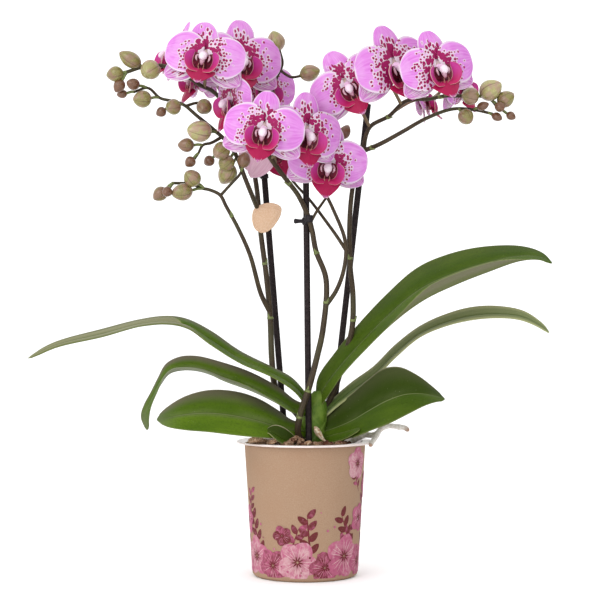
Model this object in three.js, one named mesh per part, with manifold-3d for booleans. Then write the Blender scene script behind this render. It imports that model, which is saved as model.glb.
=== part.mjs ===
// A potted moth orchid: two pots, bark, a leafy crown, three staked flower spikes, fifteen blooms.
// Millimetres, +Z up. The origin is the middle of the cover pot's underside. The viewer looks along +Y.
import * as THREE from 'three';
import { mergeVertices } from 'three/addons/utils/BufferGeometryUtils.js';
import Module from 'manifold-3d';

const wasm = await Module();
wasm.setup();

// Driving dimensions
const POT_HEIGHT = 94;
const POT_TOP_RADIUS = 42.4;
const POT_FOOT_RADIUS = 36.6;
const POT_WALL = 1.2;
const FOOT_ROUND = 2.5;
const FLANGE_RADIUS = 48;
const FLANGE_THICK = 1.3;
const INNER_WALL = 0.9;
const POT_GAP = 0.4;
const BARK_TOP = 89.5;
const STAKE_RADIUS = 2.1;
const STEM_RADIUS = 2.3;
const TWIG_RADIUS = 1.0;
const BLADE = 1.0;
const LEAF_THICK = 2.0;
const CLEAR = 0.35;

// The view that places come from: a level eye, and the real size of a pixel in the plane through the pot
const EYE_DISTANCE = 1240;
const EYE_HEIGHT = 192.3;
const EYE_ACROSS = -3.5;
const PIXEL = 0.7;
const MIDDLE_PIXEL = 300;

// A place seen at a pixel of the view, a depth in millimetres behind the pot's axis
function spot(across, down, depth) {
  const size = PIXEL * (EYE_DISTANCE + depth) / EYE_DISTANCE;
  const x = EYE_ACROSS + (across - MIDDLE_PIXEL) * size;
  const z = EYE_HEIGHT + (MIDDLE_PIXEL - down) * size;
  return new THREE.Vector3(x, depth, z);
}

function spots(list) {
  return list.map(([across, down, depth]) => spot(across, down, depth));
}

// Closed solids and their joins

function solid(geometry) {
  geometry.deleteAttribute('normal');
  geometry.deleteAttribute('uv');
  const merged = mergeVertices(geometry, 1e-4);
  const vertProperties = new Float32Array(merged.attributes.position.array);
  const triVerts = new Uint32Array(merged.index.array);
  const body = new wasm.Manifold(new wasm.Mesh({ numProp: 3, vertProperties, triVerts }));
  if (body.volume() > 0) return body;
  return new wasm.Manifold(new wasm.Mesh({ numProp: 3, vertProperties, triVerts: triVerts.reverse() }));
}

function fuse(pieces) {
  return pieces.reduce((whole, piece) => whole.add(piece));
}

function cutClear(body, tools) {
  return tools.reduce((whole, tool) => whole.subtract(tool), body);
}

// The largest piece, with any loose scrap dropped
function largest(body) {
  const pieces = body.decompose();
  return pieces.reduce((best, piece) => (piece.volume() > best.volume() ? piece : best));
}

function geometryOf(body) {
  const mesh = body.getMesh();
  const geometry = new THREE.BufferGeometry();
  geometry.setAttribute('position', new THREE.BufferAttribute(new Float32Array(mesh.vertProperties), 3));
  geometry.setIndex(new THREE.BufferAttribute(new Uint32Array(mesh.triVerts), 1));
  return geometry;
}

// A tube through rings of points, closed by a fan at each end
function loft(rings) {
  const sides = rings[0].length;
  const corners = rings.flat().flatMap((p) => [p.x, p.y, p.z]);
  const faces = [];
  for (let r = 0; r < rings.length - 1; r += 1) {
    for (let s = 0; s < sides; s += 1) {
      const a = r * sides + s;
      const b = r * sides + (s + 1) % sides;
      faces.push(a, b, b + sides, a, b + sides, a + sides);
    }
  }
  const last = (rings.length - 1) * sides;
  for (let s = 1; s < sides - 1; s += 1) {
    faces.push(0, s + 1, s);
    faces.push(last, last + s, last + s + 1);
  }
  const geometry = new THREE.BufferGeometry();
  geometry.setAttribute('position', new THREE.Float32BufferAttribute(corners, 3));
  geometry.setIndex(faces);
  return solid(geometry);
}

function curveThrough(points) {
  return new THREE.CatmullRomCurve3(points, false, 'centripetal');
}

// A route's curve is split into somewhat fewer steps than it has places
const STEP_SHARE = 0.75;

function stepsOn(route) {
  return Math.max(2, Math.round(route.length * STEP_SHARE));
}

function stationsOn(points, steps) {
  return curveThrough(points).getSpacedPoints(steps);
}

// A stem along a smooth curve, with its radius running evenly from one end to the other
function stem(points, startRadius, endRadius, sides, steps, grow = 0) {
  const frames = curveThrough(points).computeFrenetFrames(steps, false);
  const rings = [];
  stationsOn(points, steps).forEach((centre, i) => {
    const radius = THREE.MathUtils.lerp(startRadius, endRadius, i / steps) + grow;
    const ring = [];
    for (let s = 0; s < sides; s += 1) {
      const angle = (2 * Math.PI * s) / sides;
      const out = frames.normals[i].clone().multiplyScalar(Math.cos(angle));
      out.addScaledVector(frames.binormals[i], Math.sin(angle));
      ring.push(centre.clone().addScaledVector(out, radius));
    }
    rings.push(ring);
  });
  return loft(rings);
}

// A blade: a curved sheet of even thickness, both faces split alike
function blade(surface, along, across, thick) {
  const stepsAlong = along.length - 1;
  const rows = [[], []];
  const small = 1e-3;
  for (let i = 0; i <= stepsAlong; i += 1) {
    for (let j = 0; j <= across; j += 1) {
      const u = along[i];
      const v = -1 + (2 * j) / across;
      const here = surface(u, v);
      const alongU = surface(Math.min(u + small, 1), v).sub(surface(Math.max(u - small, 0), v));
      const alongV = surface(u, v + small).sub(surface(u, v - small));
      const normal = alongU.cross(alongV).normalize();
      rows[0].push(here.clone().addScaledVector(normal, thick / 2));
      rows[1].push(here.clone().addScaledVector(normal, -thick / 2));
    }
  }
  const width = across + 1;
  const count = rows[0].length;
  const corners = rows.flat().flatMap((p) => [p.x, p.y, p.z]);
  const faces = [];
  for (let i = 0; i < stepsAlong; i += 1) {
    for (let j = 0; j < across; j += 1) {
      const a = i * width + j;
      const b = a + 1;
      const c = a + width + 1;
      const d = a + width;
      faces.push(a, c, b, a, d, c);
      faces.push(a + count, b + count, c + count, a + count, c + count, d + count);
    }
  }
  const rim = [];
  for (let j = 0; j < across; j += 1) rim.push(j);
  for (let i = 0; i < stepsAlong; i += 1) rim.push(i * width + across);
  for (let j = across; j > 0; j -= 1) rim.push(stepsAlong * width + j);
  for (let i = stepsAlong; i > 0; i -= 1) rim.push(i * width);
  rim.forEach((a, k) => {
    const b = rim[(k + 1) % rim.length];
    faces.push(a, b, b + count, a, b + count, a + count);
  });
  const geometry = new THREE.BufferGeometry();
  geometry.setAttribute('position', new THREE.Float32BufferAttribute(corners, 3));
  geometry.setIndex(faces);
  return solid(geometry);
}

// Pots, turned round the Z axis

function turned(profile, sides) {
  const points = profile.map(([r, z]) => new THREE.Vector2(r, z));
  const geometry = new THREE.LatheGeometry(points, sides);
  geometry.rotateX(Math.PI / 2);
  return solid(geometry);
}

function outerRadius(z) {
  return THREE.MathUtils.lerp(POT_FOOT_RADIUS, POT_TOP_RADIUS, z / POT_HEIGHT);
}

function innerRadius(z) {
  return outerRadius(z) - POT_WALL - POT_GAP;
}

const POT_SIDES = 26;

function coverPot() {
  const rim = POT_HEIGHT - FLANGE_THICK - POT_GAP;
  return turned([
    [0, 0],
    [POT_FOOT_RADIUS - FOOT_ROUND, 0],
    [POT_FOOT_RADIUS - FOOT_ROUND * 0.3, FOOT_ROUND * 0.3],
    [outerRadius(FOOT_ROUND), FOOT_ROUND],
    [outerRadius(rim), rim],
    [outerRadius(rim) - POT_WALL, rim],
    [outerRadius(FOOT_ROUND) - POT_WALL, FOOT_ROUND],
    [POT_FOOT_RADIUS - FOOT_ROUND - POT_WALL, POT_WALL],
    [0, POT_WALL],
  ], POT_SIDES);
}

const INNER_FLOOR = 4;
const DRAIN_RADIUS = 3.5;
const DRAIN_RING = 20;
const DRAIN_COUNT = 4;

function growPot() {
  const shell = turned([
    [0, INNER_FLOOR],
    [innerRadius(INNER_FLOOR) - 3, INNER_FLOOR],
    [innerRadius(INNER_FLOOR + 3), INNER_FLOOR + 3],
    [innerRadius(POT_HEIGHT - FLANGE_THICK), POT_HEIGHT - FLANGE_THICK],
    [FLANGE_RADIUS, POT_HEIGHT - FLANGE_THICK],
    [FLANGE_RADIUS, POT_HEIGHT],
    [innerRadius(POT_HEIGHT) - INNER_WALL, POT_HEIGHT],
    [innerRadius(INNER_FLOOR + 3) - INNER_WALL, INNER_FLOOR + 3],
    [innerRadius(INNER_FLOOR) - 3, INNER_FLOOR + INNER_WALL],
    [0, INNER_FLOOR + INNER_WALL],
  ], POT_SIDES);
  const drains = [];
  for (let i = 0; i < DRAIN_COUNT; i += 1) {
    const angle = (2 * Math.PI * i) / DRAIN_COUNT;
    const drill = new THREE.CylinderGeometry(DRAIN_RADIUS, DRAIN_RADIUS, 4, 6);
    drill.rotateX(Math.PI / 2);
    drill.translate(DRAIN_RING * Math.cos(angle), DRAIN_RING * Math.sin(angle), INNER_FLOOR + INNER_WALL / 2);
    drains.push(solid(drill));
  }
  return cutClear(shell, drains);
}

// Bark: a plug with a lumpy top of chips, and plain holes for what stands in it
const BARK_SECTORS = 18;
const BARK_RINGS = 3;
const BARK_LUMP = 2.2;
const BARK_SHOULDER = 3;

function chipHeight(x, y) {
  const wave = Math.sin(x * 0.55 + 1.3 * Math.sin(y * 0.31)) * Math.cos(y * 0.47 + 0.8 * Math.sin(x * 0.23));
  return BARK_TOP + BARK_LUMP * (Math.round(wave * 2.4) / 2.4);
}

function barkRing(radius, height) {
  const ring = [];
  for (let s = 0; s < BARK_SECTORS; s += 1) {
    const angle = (2 * Math.PI * s) / BARK_SECTORS;
    const x = radius * Math.cos(angle);
    const y = radius * Math.sin(angle);
    ring.push(new THREE.Vector3(x, y, height ?? chipHeight(x, y)));
  }
  return ring;
}

function barkMix(holes) {
  const low = INNER_FLOOR + INNER_WALL + POT_GAP;
  const edge = innerRadius(BARK_TOP - BARK_SHOULDER) - INNER_WALL - POT_GAP;
  const foot = innerRadius(INNER_FLOOR + 3) - INNER_WALL - POT_GAP - 3;
  const rings = [barkRing(foot - 4, low), barkRing(foot + 2.6, low + 6), barkRing(edge, BARK_TOP - BARK_SHOULDER)];
  for (let r = BARK_RINGS; r >= 1; r -= 1) {
    rings.push(barkRing((edge * 0.97 * r) / BARK_RINGS));
  }
  return largest(cutClear(loft(rings), holes));
}

// Crown: the short stem, wrapped in leaf sheaths
const CROWN_STATIONS = [
  { at: [312, 456, 0], wide: 8, deep: 7 },
  { at: [313, 440, 0], wide: 9.5, deep: 7.5 },
  { at: [314, 425, 0], wide: 10.5, deep: 7.5 },
  { at: [315, 410, 0], wide: 9.5, deep: 6.5 },
  { at: [316, 398, 0], wide: 6.5, deep: 4.5 },
  { at: [317, 391, 0], wide: 2.5, deep: 2 },
];
const CROWN_SIDES = 12;

function crown(grow = 0) {
  const rings = CROWN_STATIONS.map(({ at, wide, deep }, i) => {
    const centre = spot(...at);
    const lift = i === 0 ? -grow : (i === CROWN_STATIONS.length - 1 ? grow : 0);
    const ring = [];
    for (let s = 0; s < CROWN_SIDES; s += 1) {
      const angle = (2 * Math.PI * s) / CROWN_SIDES;
      const x = (wide + grow) * Math.cos(angle);
      const y = (deep + grow) * Math.sin(angle);
      ring.push(new THREE.Vector3(centre.x + x, centre.y + y, centre.z + lift));
    }
    return ring;
  });
  return loft(rings);
}

// Leaves: each runs from the crown to its tip between a far and a near margin, with a sunk midrib
const LEAVES = {
  leaf_upper_left: {
    far: [[310, 398, 2], [292, 378, 4], [274, 368, 4], [240, 351, 6], [211, 331, 12], [187, 319, 18], [168, 316, 21],
      [142, 319, 24], [102, 329, 28], [55, 342, 30], [28, 356, 30]],
    near: [[308, 410, -4], [296, 393, -8], [274, 378, -12], [240, 363, -12], [211, 347, -8], [187, 332, -4],
      [168, 326, 0], [142, 327, 4], [102, 336, 12], [55, 350, 23], [27, 361, 29]],
    sag: 1.2,
    across: 2,
  },
  leaf_mid_left: {
    far: [[308, 405, -2], [295, 400, -2], [278, 387, -3], [250, 372, -4], [221, 362, -5], [188, 356, -6],
      [166, 366, -8], [152, 389, -10], [142, 408, -12], [143, 424, -14]],
    near: [[306, 416, -6], [294, 413, -14], [275, 402, -22], [252, 391, -25], [225, 381, -26], [198, 371, -26],
      [176, 372, -24], [162, 390, -22], [152, 410, -19], [150, 433, -17]],
    sag: 3.5,
    across: 4,
  },
  leaf_low_left: {
    far: [[309, 424, -2], [292, 420, -4], [276, 409, -8], [259, 399, -12], [238, 392, -16], [211, 390, -20],
      [186, 396, -28], [166, 408, -36], [156, 418, -42]],
    near: [[306, 437, -6], [290, 438, -16], [272, 438, -30], [254, 437, -40], [234, 435, -46], [209, 432, -50],
      [185, 430, -52], [168, 427, -50], [157, 422, -45]],
    sag: 2.4,
    across: 4,
  },
  leaf_curled_left: {
    far: [[307, 438, -6], [297, 434, -14], [288, 427, -20], [277, 424, -24], [269, 427, -26]],
    near: [[305, 442, -9], [294, 441, -20], [284, 438, -28], [273, 434, -32], [265, 432, -31]],
    sag: -1.5,
    across: 2,
  },
  leaf_upper_right: {
    far: [[316, 402, 4], [318, 378, 5], [334, 354, 6], [357, 326, 8], [386, 295, 12], [417, 268, 16], [446, 255, 18],
      [481, 247, 18], [520, 246, 16], [541, 252, 14], [553, 262, 12]],
    near: [[318, 410, -3], [328, 396, -6], [343, 374, -10], [366, 349, -14], [394, 321, -18], [424, 297, -20],
      [455, 280, -18], [488, 268, -12], [520, 261, -4], [540, 260, 4], [552, 265, 10]],
    sag: 2.6,
    across: 4,
  },
  leaf_mid_right: {
    far: [[320, 414, 6], [335, 397, 12], [352, 382, 16], [374, 366, 22], [395, 345, 28], [420, 326, 34],
      [446, 314, 38], [472, 307, 40], [498, 306, 40], [524, 311, 38], [542, 323, 36], [550, 332, 34]],
    near: [[322, 420, 0], [338, 406, 0], [354, 394, 4], [376, 377, 10], [397, 356, 16], [420, 337, 22],
      [446, 326, 26], [472, 320, 28], [498, 318, 30], [520, 320, 30], [538, 327, 30], [549, 334, 31]],
    sag: 1.4,
    across: 2,
  },
  leaf_low_right: {
    far: [[322, 422, 3], [336, 407, 4], [352, 394, 2], [368, 380, -2], [383, 369, -6], [399, 367, -12],
      [417, 375, -20], [433, 387, -28], [444, 397, -34]],
    near: [[322, 438, -4], [338, 440, -12], [354, 437, -24], [372, 430, -34], [390, 423, -42], [408, 414, -46],
      [424, 406, -46], [436, 402, -42], [446, 401, -37]],
    sag: 2.4,
    across: 4,
  },
  leaf_folded_right: {
    far: [[321, 439, -3], [333, 435, -10], [345, 432, -16], [361, 427, -24]],
    near: [[321, 444, -5], [333, 442, -18], [344, 439, -24], [359, 431, -29]],
    sag: 1.2,
    across: 2,
  },
};

function leafBody(name, grow = 0) {
  const { far, near, sag, across } = LEAVES[name];
  const farEdge = curveThrough(spots(far));
  const nearEdge = curveThrough(spots(near));
  const along = far.map((_, i) => i / (far.length - 1));
  const surface = (u, v) => {
    const a = farEdge.getPoint(u);
    const b = nearEdge.getPoint(u);
    const middle = a.clone().add(b).multiplyScalar(0.5);
    const span = a.sub(b);
    const place = middle.addScaledVector(span, v * (0.5 + grow / span.length()));
    place.z -= sag * (1 - v * v) * Math.sin(Math.PI * Math.min(1, 0.15 + u * 0.85));
    return place;
  };
  return blade(surface, along, across, LEAF_THICK + 2 * grow);
}

// Stakes: straight rods from the bark up beside each spike
const STAKES = {
  stake_left: [[287, 462, 15], [264, 172, 24]],
  stake_middle: [[309, 462, -11], [306, 180, 5]],
  stake_right: [[328, 462, 13], [368, 104, 19]],
};
const STAKE_SIDES = 8;

function stakeBody(name, grow = 0) {
  return stem(spots(STAKES[name]), STAKE_RADIUS, STAKE_RADIUS, STAKE_SIDES, 1, grow);
}

// Blooms: the centre in the view, its depth, and how it faces
// turn: to the viewer's right. tilt: upwards. roll: clockwise as seen. nod: its upper sepal, the other way
// Angles are degrees.
const BLOOMS = {
  a: { at: [205, 55, -38], turn: -3, tilt: 14, roll: 9, nod: 14, size: 1.02 },
  b: { at: [241, 58, 12], turn: 18, tilt: 4, roll: 3, nod: 0, size: 1.12 },
  c: { at: [174, 53, 22], turn: -70, tilt: 16, roll: 2, nod: 0, size: 0.98 },
  d: { at: [196, 74, 41], turn: -62, tilt: 0, roll: 6, nod: 0, size: 0.92 },
  e: { at: [264, 128, -54], turn: -2, tilt: 0, roll: 9, nod: 3, size: 1.0 },
  f: { at: [232, 98, -19], turn: -62, tilt: -6, roll: 10, nod: 0, size: 0.95 },
  g: { at: [272, 148, 14], turn: 180, tilt: -10, roll: 28, nod: 0, size: 0.9 },
  h: { at: [264, 86, 44], turn: 28, tilt: 0, roll: 4, nod: 0, size: 0.98 },
  i: { at: [306, 131, -34], turn: 28, tilt: -4, roll: 6, nod: 0, size: 1.05 },
  j: { at: [328, 161, -10], turn: 2, tilt: -14, roll: 5, nod: 0, size: 1.02 },
  k: { at: [347, 84, -20], turn: -4, tilt: -6, roll: -24, nod: 0, size: 1.0 },
  l: { at: [394, 65, -32], turn: 30, tilt: 4, roll: -10, nod: 0, size: 1.12 },
  m: { at: [438, 66, -44], turn: 20, tilt: 4, roll: -14, nod: 0, size: 1.0 },
  n: { at: [462, 84, 24], turn: 62, tilt: -6, roll: -20, nod: 0, size: 0.85 },
  o: { at: [423, 98, 28], turn: 80, tilt: 16, roll: 6, nod: 0, size: 0.8 },
};

function bloomFrame({ at, turn, tilt, roll, size }) {
  const rad = THREE.MathUtils.degToRad;
  const facing = new THREE.Euler(-rad(tilt), rad(roll), rad(turn), 'ZXY');
  return new THREE.Matrix4().compose(
    spot(...at),
    new THREE.Quaternion().setFromEuler(facing),
    new THREE.Vector3(size, size, size),
  );
}

// A tepal lies in the bloom's own XZ plane, and -Y is the way the bloom faces
const PETAL = { long: 26.5, half: 13.6, base: 0.72, tip: 0.44, lift: 2.2, reflex: 3.2, roll: 2.4, rise: 0.6 };
const DORSAL = { long: 25, half: 9.3, base: 0.7, tip: 0.46, lift: 1.2, reflex: 2.4, roll: 1.6, rise: -2.2 };
const LATERAL = { long: 29, half: 9.6, base: 0.74, tip: 0.55, lift: 0.6, reflex: 4.2, roll: 1.8, rise: -2.4 };
const PETAL_ANGLES = [3, 177];
const LATERAL_ANGLES = [-30, 210];
const DORSAL_ANGLE = 90;
const PETAL_ALONG = [0.08, 0.32, 0.66, 0.9, 0.99];
const SEPAL_ALONG = [0.1, 0.42, 0.78, 0.98];

function tepalSurface(shape, angle) {
  const rad = THREE.MathUtils.degToRad(angle);
  const out = new THREE.Vector3(Math.cos(rad), 0, Math.sin(rad));
  const side = new THREE.Vector3(-Math.sin(rad), 0, Math.cos(rad));
  const { base, tip } = shape;
  const widest = (base / (base + tip)) ** base * (tip / (base + tip)) ** tip;
  return (u, v) => {
    const wide = (shape.half * u ** base * (1 - Math.min(u, 1)) ** tip) / widest;
    const bend = shape.rise + shape.lift * Math.sin(Math.PI * u) - shape.reflex * u * u;
    const curl = shape.roll * v * v * Math.sin(Math.PI * Math.min(u, 1));
    const place = out.clone().multiplyScalar(shape.long * u);
    place.addScaledVector(side, wide * v);
    place.y = -(bend - curl);
    return place;
  };
}

function tepal(shape, angle, along, across) {
  return blade(tepalSurface(shape, angle), along, across, BLADE);
}

function ringAt(centre, wide, high, sides) {
  const ring = [];
  for (let s = 0; s < sides; s += 1) {
    const angle = (2 * Math.PI * s) / sides;
    ring.push(new THREE.Vector3(centre[0] + wide * Math.cos(angle), centre[1], centre[2] - high * Math.sin(angle)));
  }
  return ring;
}

// The hub behind the tepals and the pale column in front, as one lofted piece
const HUB_BACK = 3.0;
const HUB_SIDES = 5;

function column() {
  return loft([
    ringAt([0, HUB_BACK, 0], 4.4, 4.4, HUB_SIDES),
    ringAt([0, -1, 0], 3.4, 3.4, HUB_SIDES),
    ringAt([0, -8.2, -3.0], 2.9, 2.6, HUB_SIDES),
    ringAt([0, -9.4, -4.4], 1.4, 1.2, HUB_SIDES),
  ]);
}

function bloomLocal(nod) {
  return fuse([
    tepal(DORSAL, DORSAL_ANGLE + nod, SEPAL_ALONG, 1),
    ...LATERAL_ANGLES.map((angle) => tepal(LATERAL, angle, SEPAL_ALONG, 1)),
    ...PETAL_ANGLES.map((angle) => tepal(PETAL, angle, PETAL_ALONG, 2)),
    column(),
  ]);
}

// Lip: two upright crescent side lobes round the throat, and a pointed middle lobe
const LOBE_OUTER = [[0.6, -6.2, -14.6], [7.2, -8.2, -14.4], [11.2, -9.6, -9.6], [11.4, -9.4, -3.6], [7.4, -7.6, 1.2]];
const LOBE_INNER = [[0.4, -5.2, -11.8], [4.2, -4.4, -11.4], [6.4, -4.6, -8.2], [6.6, -4.8, -3.8], [5.4, -5.6, -0.2]];
const LOBE_ALONG = [0, 0.36, 0.7, 1];
const CLAW_ROOT = [0, -2.4, -4.15];
const CLAW_HALF = 1.6;
const MID_TIP = [0, -11.0, -24.0];
const MID_HALF = 10;
const MID_SHOULDER = 0.46;
const MID_ALONG = [0, MID_SHOULDER, 1];

function lobe(hand) {
  const place = ([x, y, z]) => new THREE.Vector3(hand * x, y, z);
  const outer = new THREE.CatmullRomCurve3(LOBE_OUTER.map(place));
  const inner = new THREE.CatmullRomCurve3(LOBE_INNER.map(place));
  const surface = (u, v) => {
    const mix = (1 + hand * v) / 2;
    return outer.getPoint(u).lerp(inner.getPoint(u), 1 - mix);
  };
  return blade(surface, LOBE_ALONG, 1, BLADE);
}

function midLobe() {
  const root = new THREE.Vector3(...CLAW_ROOT);
  const tip = new THREE.Vector3(...MID_TIP);
  const surface = (u, v) => {
    const opened = Math.min(1, u / MID_SHOULDER);
    const past = Math.max(0, u - MID_SHOULDER) / (1 - MID_SHOULDER);
    const wide = THREE.MathUtils.lerp(CLAW_HALF, MID_HALF, opened) * (1 - 0.9 * past);
    const place = root.clone().lerp(tip, u);
    place.x += wide * v;
    place.y += 1.8 * v * v * opened * (1 - past);
    return place;
  };
  return blade(surface, MID_ALONG, 2, BLADE);
}

function lipLocal() {
  return fuse([lobe(1), lobe(-1), midLobe()]);
}

// A bloom's stalk: from its stem to just behind the hub, which it meets straight on
const STALK_STRAIGHT = 8;
const STALK_SIDES = 3;

function stalkInto(bloom, places) {
  const frame = bloomFrame(bloom);
  const back = (distance) => new THREE.Vector3(0, HUB_BACK + distance, 0).applyMatrix4(frame);
  const route = [...places, back(STALK_STRAIGHT), back(CLEAR)];
  return stem(route, TWIG_RADIUS, TWIG_RADIUS, STALK_SIDES, route.length);
}

// Buds: an egg that narrows to a short stalk, which leaves the stem at a given place
const BUD_RINGS = [[0, 0.3], [0.22, 0.86], [0.66, 0.94], [1, 0.22]];
const BUD_SIDES = 5;

function bud(centre, long, wide, from) {
  const axis = centre.clone().sub(from).normalize();
  const side = new THREE.Vector3(0, 1, 0).cross(axis).normalize();
  const up = axis.clone().cross(side).normalize();
  const ring = (middle, radius) => {
    const places = [];
    for (let s = 0; s < BUD_SIDES; s += 1) {
      const angle = (2 * Math.PI * s) / BUD_SIDES;
      const out = side.clone().multiplyScalar(Math.cos(angle)).addScaledVector(up, Math.sin(angle));
      places.push(middle.clone().addScaledVector(out, radius));
    }
    return places;
  };
  const base = centre.clone().addScaledVector(axis, -long / 2);
  const egg = BUD_RINGS.map(([t, share]) => (
    ring(base.clone().addScaledVector(axis, long * t), (share * wide) / 2)
  ));
  const reach = centre.distanceTo(from) - long / 2;
  return loft(reach > 0.5 ? [ring(from, TWIG_RADIUS), ...egg] : egg);
}

// Nodes: a swollen ring that narrows to the tip of a short bract
function bract(foot, tip, radius) {
  return stem([foot, tip], radius, 0.6, 4, 1);
}

const STEM_SIDES = 5;
const BRANCH_SIDES = 4;

// Spikes: stems and branches as [places, first radius, last radius]
const SPIKES = {
  spike_left: {
    stems: [
      [[[309, 436, 5], [297, 414, 8], [281, 398, 7], [275, 386, 8], [272, 362, 9], [270, 314, 10], [266, 273, 11],
        [261, 235, 13], [256, 183, 16], [249, 152, 19], [240, 130, 21], [230, 112, 18], [215, 93, 9], [200, 85, -5],
        [188, 77, -10], [164, 66, -12], [143, 67, -12], [127, 72, -12]], STEM_RADIUS, 1.3],
      [[[270, 312, 10], [261, 294, 3], [250, 255, -6], [238, 228, -8], [226, 206, -9], [220, 195, -9],
        [210, 190, -9], [201, 188, -9], [192, 184, -9], [172, 183, -9]], 1.8, 1.0],
      [[[258, 212, 14], [254, 200, 3], [245, 178, -8], [237, 157, -8], [227, 142, -8], [213, 129, -8],
        [196, 115, -8], [184, 105, -8], [172, 101, -8], [160, 98, -8], [148, 88, -8], [134, 92, -8]], 1.8, 0.9],
      [[[221, 195, -9], [231, 184, -10], [240, 174, -10], [244, 164, -10]], 1.1, 0.9],
      [[[221, 138, -8], [211, 143, -10], [203, 145, -10], [198, 154, -10], [194, 160, -10]], 1.2, 0.8],
      [[[186, 106, -8], [196, 103, -5], [206, 103, -2]], 1.1, 0.9],
      [[[231, 112, 18], [233, 92, 24], [235, 80, 26]], 1.5, 1.1],
    ],
    bracts: [
      [[266, 263, 11], [270, 252, 8], 2.6],
      [[270, 318, 10], [267, 304, 7], 2.8],
      [[258, 213, 14], [253, 204, 11], 2.3],
      [[231, 216, -8], [229, 209, -10], 1.9],
    ],
    buds: [
      [[130, 59, -14], 15.5, 10, [143, 67, -12]],
      [[150, 70, -22], 14, 12.5, [156, 64, -12]],
      [[115, 74, -12], 11, 10, [127, 71, -12]],
      [[119, 86, -12], 9, 7.5, [126, 74, -12]],
      [[133, 84, -14], 9, 7.5, [147, 84, -9]],
      [[122, 94, -6], 7, 5.5, [135, 92, -8]],
      [[142, 99, -16], 12.5, 11, [158, 99, -8]],
      [[173, 107, -18], 10.5, 10, [183, 104, -8]],
      [[161, 112, -10], 7, 6.5, [176, 104, -8]],
      [[204, 107, -10], 10.5, 10, [206, 98, -2]],
      [[199, 131, -18], 17.5, 13.5, [218, 132, -8]],
      [[186, 145, -12], 10.5, 9, [202, 144, -10]],
      [[190, 162, -12], 7.5, 7, [198, 153, -10]],
      [[209, 161, -2], 7.5, 7, [221, 150, -4]],
      [[221, 151, -18], 14, 11, [228, 143, -8]],
      [[226, 163, -12], 11, 10.5, [234, 153, -8]],
      [[227, 174, -4], 14.5, 12, [235, 158, -6]],
      [[192, 178, -16], 12, 11, [204, 189, -9]],
      [[182, 192, -14], 14, 11, [202, 191, -9]],
      [[167, 192, -18], 7.5, 6.5, [173, 185, -10]],
      [[160, 194, -9], 10.5, 9, [173, 184, -9]],
      [[244, 160, -12], 10, 8.5, [242, 172, -10]],
    ],
    blooms: {
      a: [[205, 88, -2]],
      b: [[235, 80, 26]],
      c: [[235, 82, 26], [222, 62, 27], [206, 52, 30]],
      d: [[232, 117, 19]],
      f: [[241, 131, 21]],
    },
  },
  spike_middle: {
    stems: [
      [[[303, 442, -7], [298, 433, -13], [300, 415, -16], [308, 391, -16], [317, 357, -13], [323, 329, -10],
        [326, 279, -7], [316, 251, -4], [312, 230, -3], [308, 216, -2], [298, 195, 1], [289, 183, 3],
        [279, 170, 3], [268, 154, -4], [260, 132, -10], [262, 112, -2], [270, 95, 28], [277, 76, 35],
        [282, 64, 34], [279, 50, 28]], STEM_RADIUS, 1.3],
      [[[325, 306, -9], [336, 291, -9], [343, 273, -10], [346, 252, -9], [344, 236, -6], [333, 209, -2],
        [326, 194, 3], [321, 180, 10]], 1.6, 1.1],
      [[[345, 250, -9], [338, 238, -4], [328, 224, 2], [309, 199, 11], [297, 186, 12]], 1.3, 0.9],
      [[[310, 223, -3], [317, 211, -2], [326, 198, 1]], 1.1, 0.9],
      [[[280, 70, 34], [291, 77, 28], [301, 76, 22]], 1.1, 0.9],
    ],
    bracts: [
      [[300, 417, -16], [298, 408, -19], 2.9],
      [[325, 302, -9], [331, 293, -12], 2.9],
      [[316, 253, -4], [312, 243, -7], 2.7],
      [[289, 184, 3], [283, 192, 0], 2.4],
      [[309, 391, -16], [310, 382, -18], 2.8],
    ],
    buds: [
      [[276, 41, 28], 13.5, 12, [280, 54, 28]],
      [[310, 73, 22], 13.5, 11, [298, 76, 22]],
      [[345, 132, 12], 10, 7.5, [321, 180, 10]],
    ],
    blooms: {
      e: [[260, 134, -10]],
      g: [[276, 166, 2]],
      h: [[261, 116, -4], [242, 122, 22], [244, 116, 46], [252, 98, 56]],
      i: [[271, 158, -1]],
      j: [[322, 183, 8]],
    },
  },
  spike_right: {
    stems: [
      [[[319, 432, 4], [326, 408, 9], [335, 388, 8], [345, 355, 5], [352, 329, 3], [353, 296, 2], [350, 263, 2],
        [350, 213, 5], [354, 180, 8], [363, 148, 7], [370, 127, 4], [389, 116, 2], [406, 101, 2], [430, 99, 0],
        [444, 96, -4], [458, 96, -7], [478, 96, -10], [490, 99, -11], [498, 108, -11]], STEM_RADIUS, 1.1],
      [[[363, 152, 7], [380, 144, -3], [402, 132, -9], [427, 118, -11], [453, 109, -11], [475, 110, -11],
        [493, 114, -11]], 1.7, 1.0],
    ],
    bracts: [
      [[353, 320, 3], [357, 308, 1], 2.9],
      [[350, 258, 2], [347, 247, 0], 2.7],
      [[440, 98, -3], [436, 105, -5], 2.3],
      [[388, 117, 2], [394, 124, 0], 2.0],
      [[371, 149, 0], [372, 157, -2], 1.9],
    ],
    buds: [
      [[470, 96, -18], 12, 11, [484, 96, -10]],
      [[491, 90, -13], 15.5, 13.5, [481, 102, -10]],
      [[506, 99, -12], 12, 10.5, [496, 106, -11]],
      [[500, 107, -18], 7.5, 6.5, [496, 98, -11]],
      [[511, 116, -12], 6.5, 5.5, [500, 109, -11]],
      [[497, 117, -14], 7.5, 5.5, [488, 113, -11]],
      [[483, 106, -15], 8.5, 5.5, [473, 110, -11]],
      [[466, 117, -16], 11, 10, [458, 108, -11]],
    ],
    blooms: {
      k: [[370, 128, 3]],
      l: [[402, 105, 2]],
      m: [[446, 97, -4]],
      n: [[432, 99, 0], [438, 94, 20]],
      o: [[392, 115, 2], [398, 109, 16]],
    },
  },
};

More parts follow.
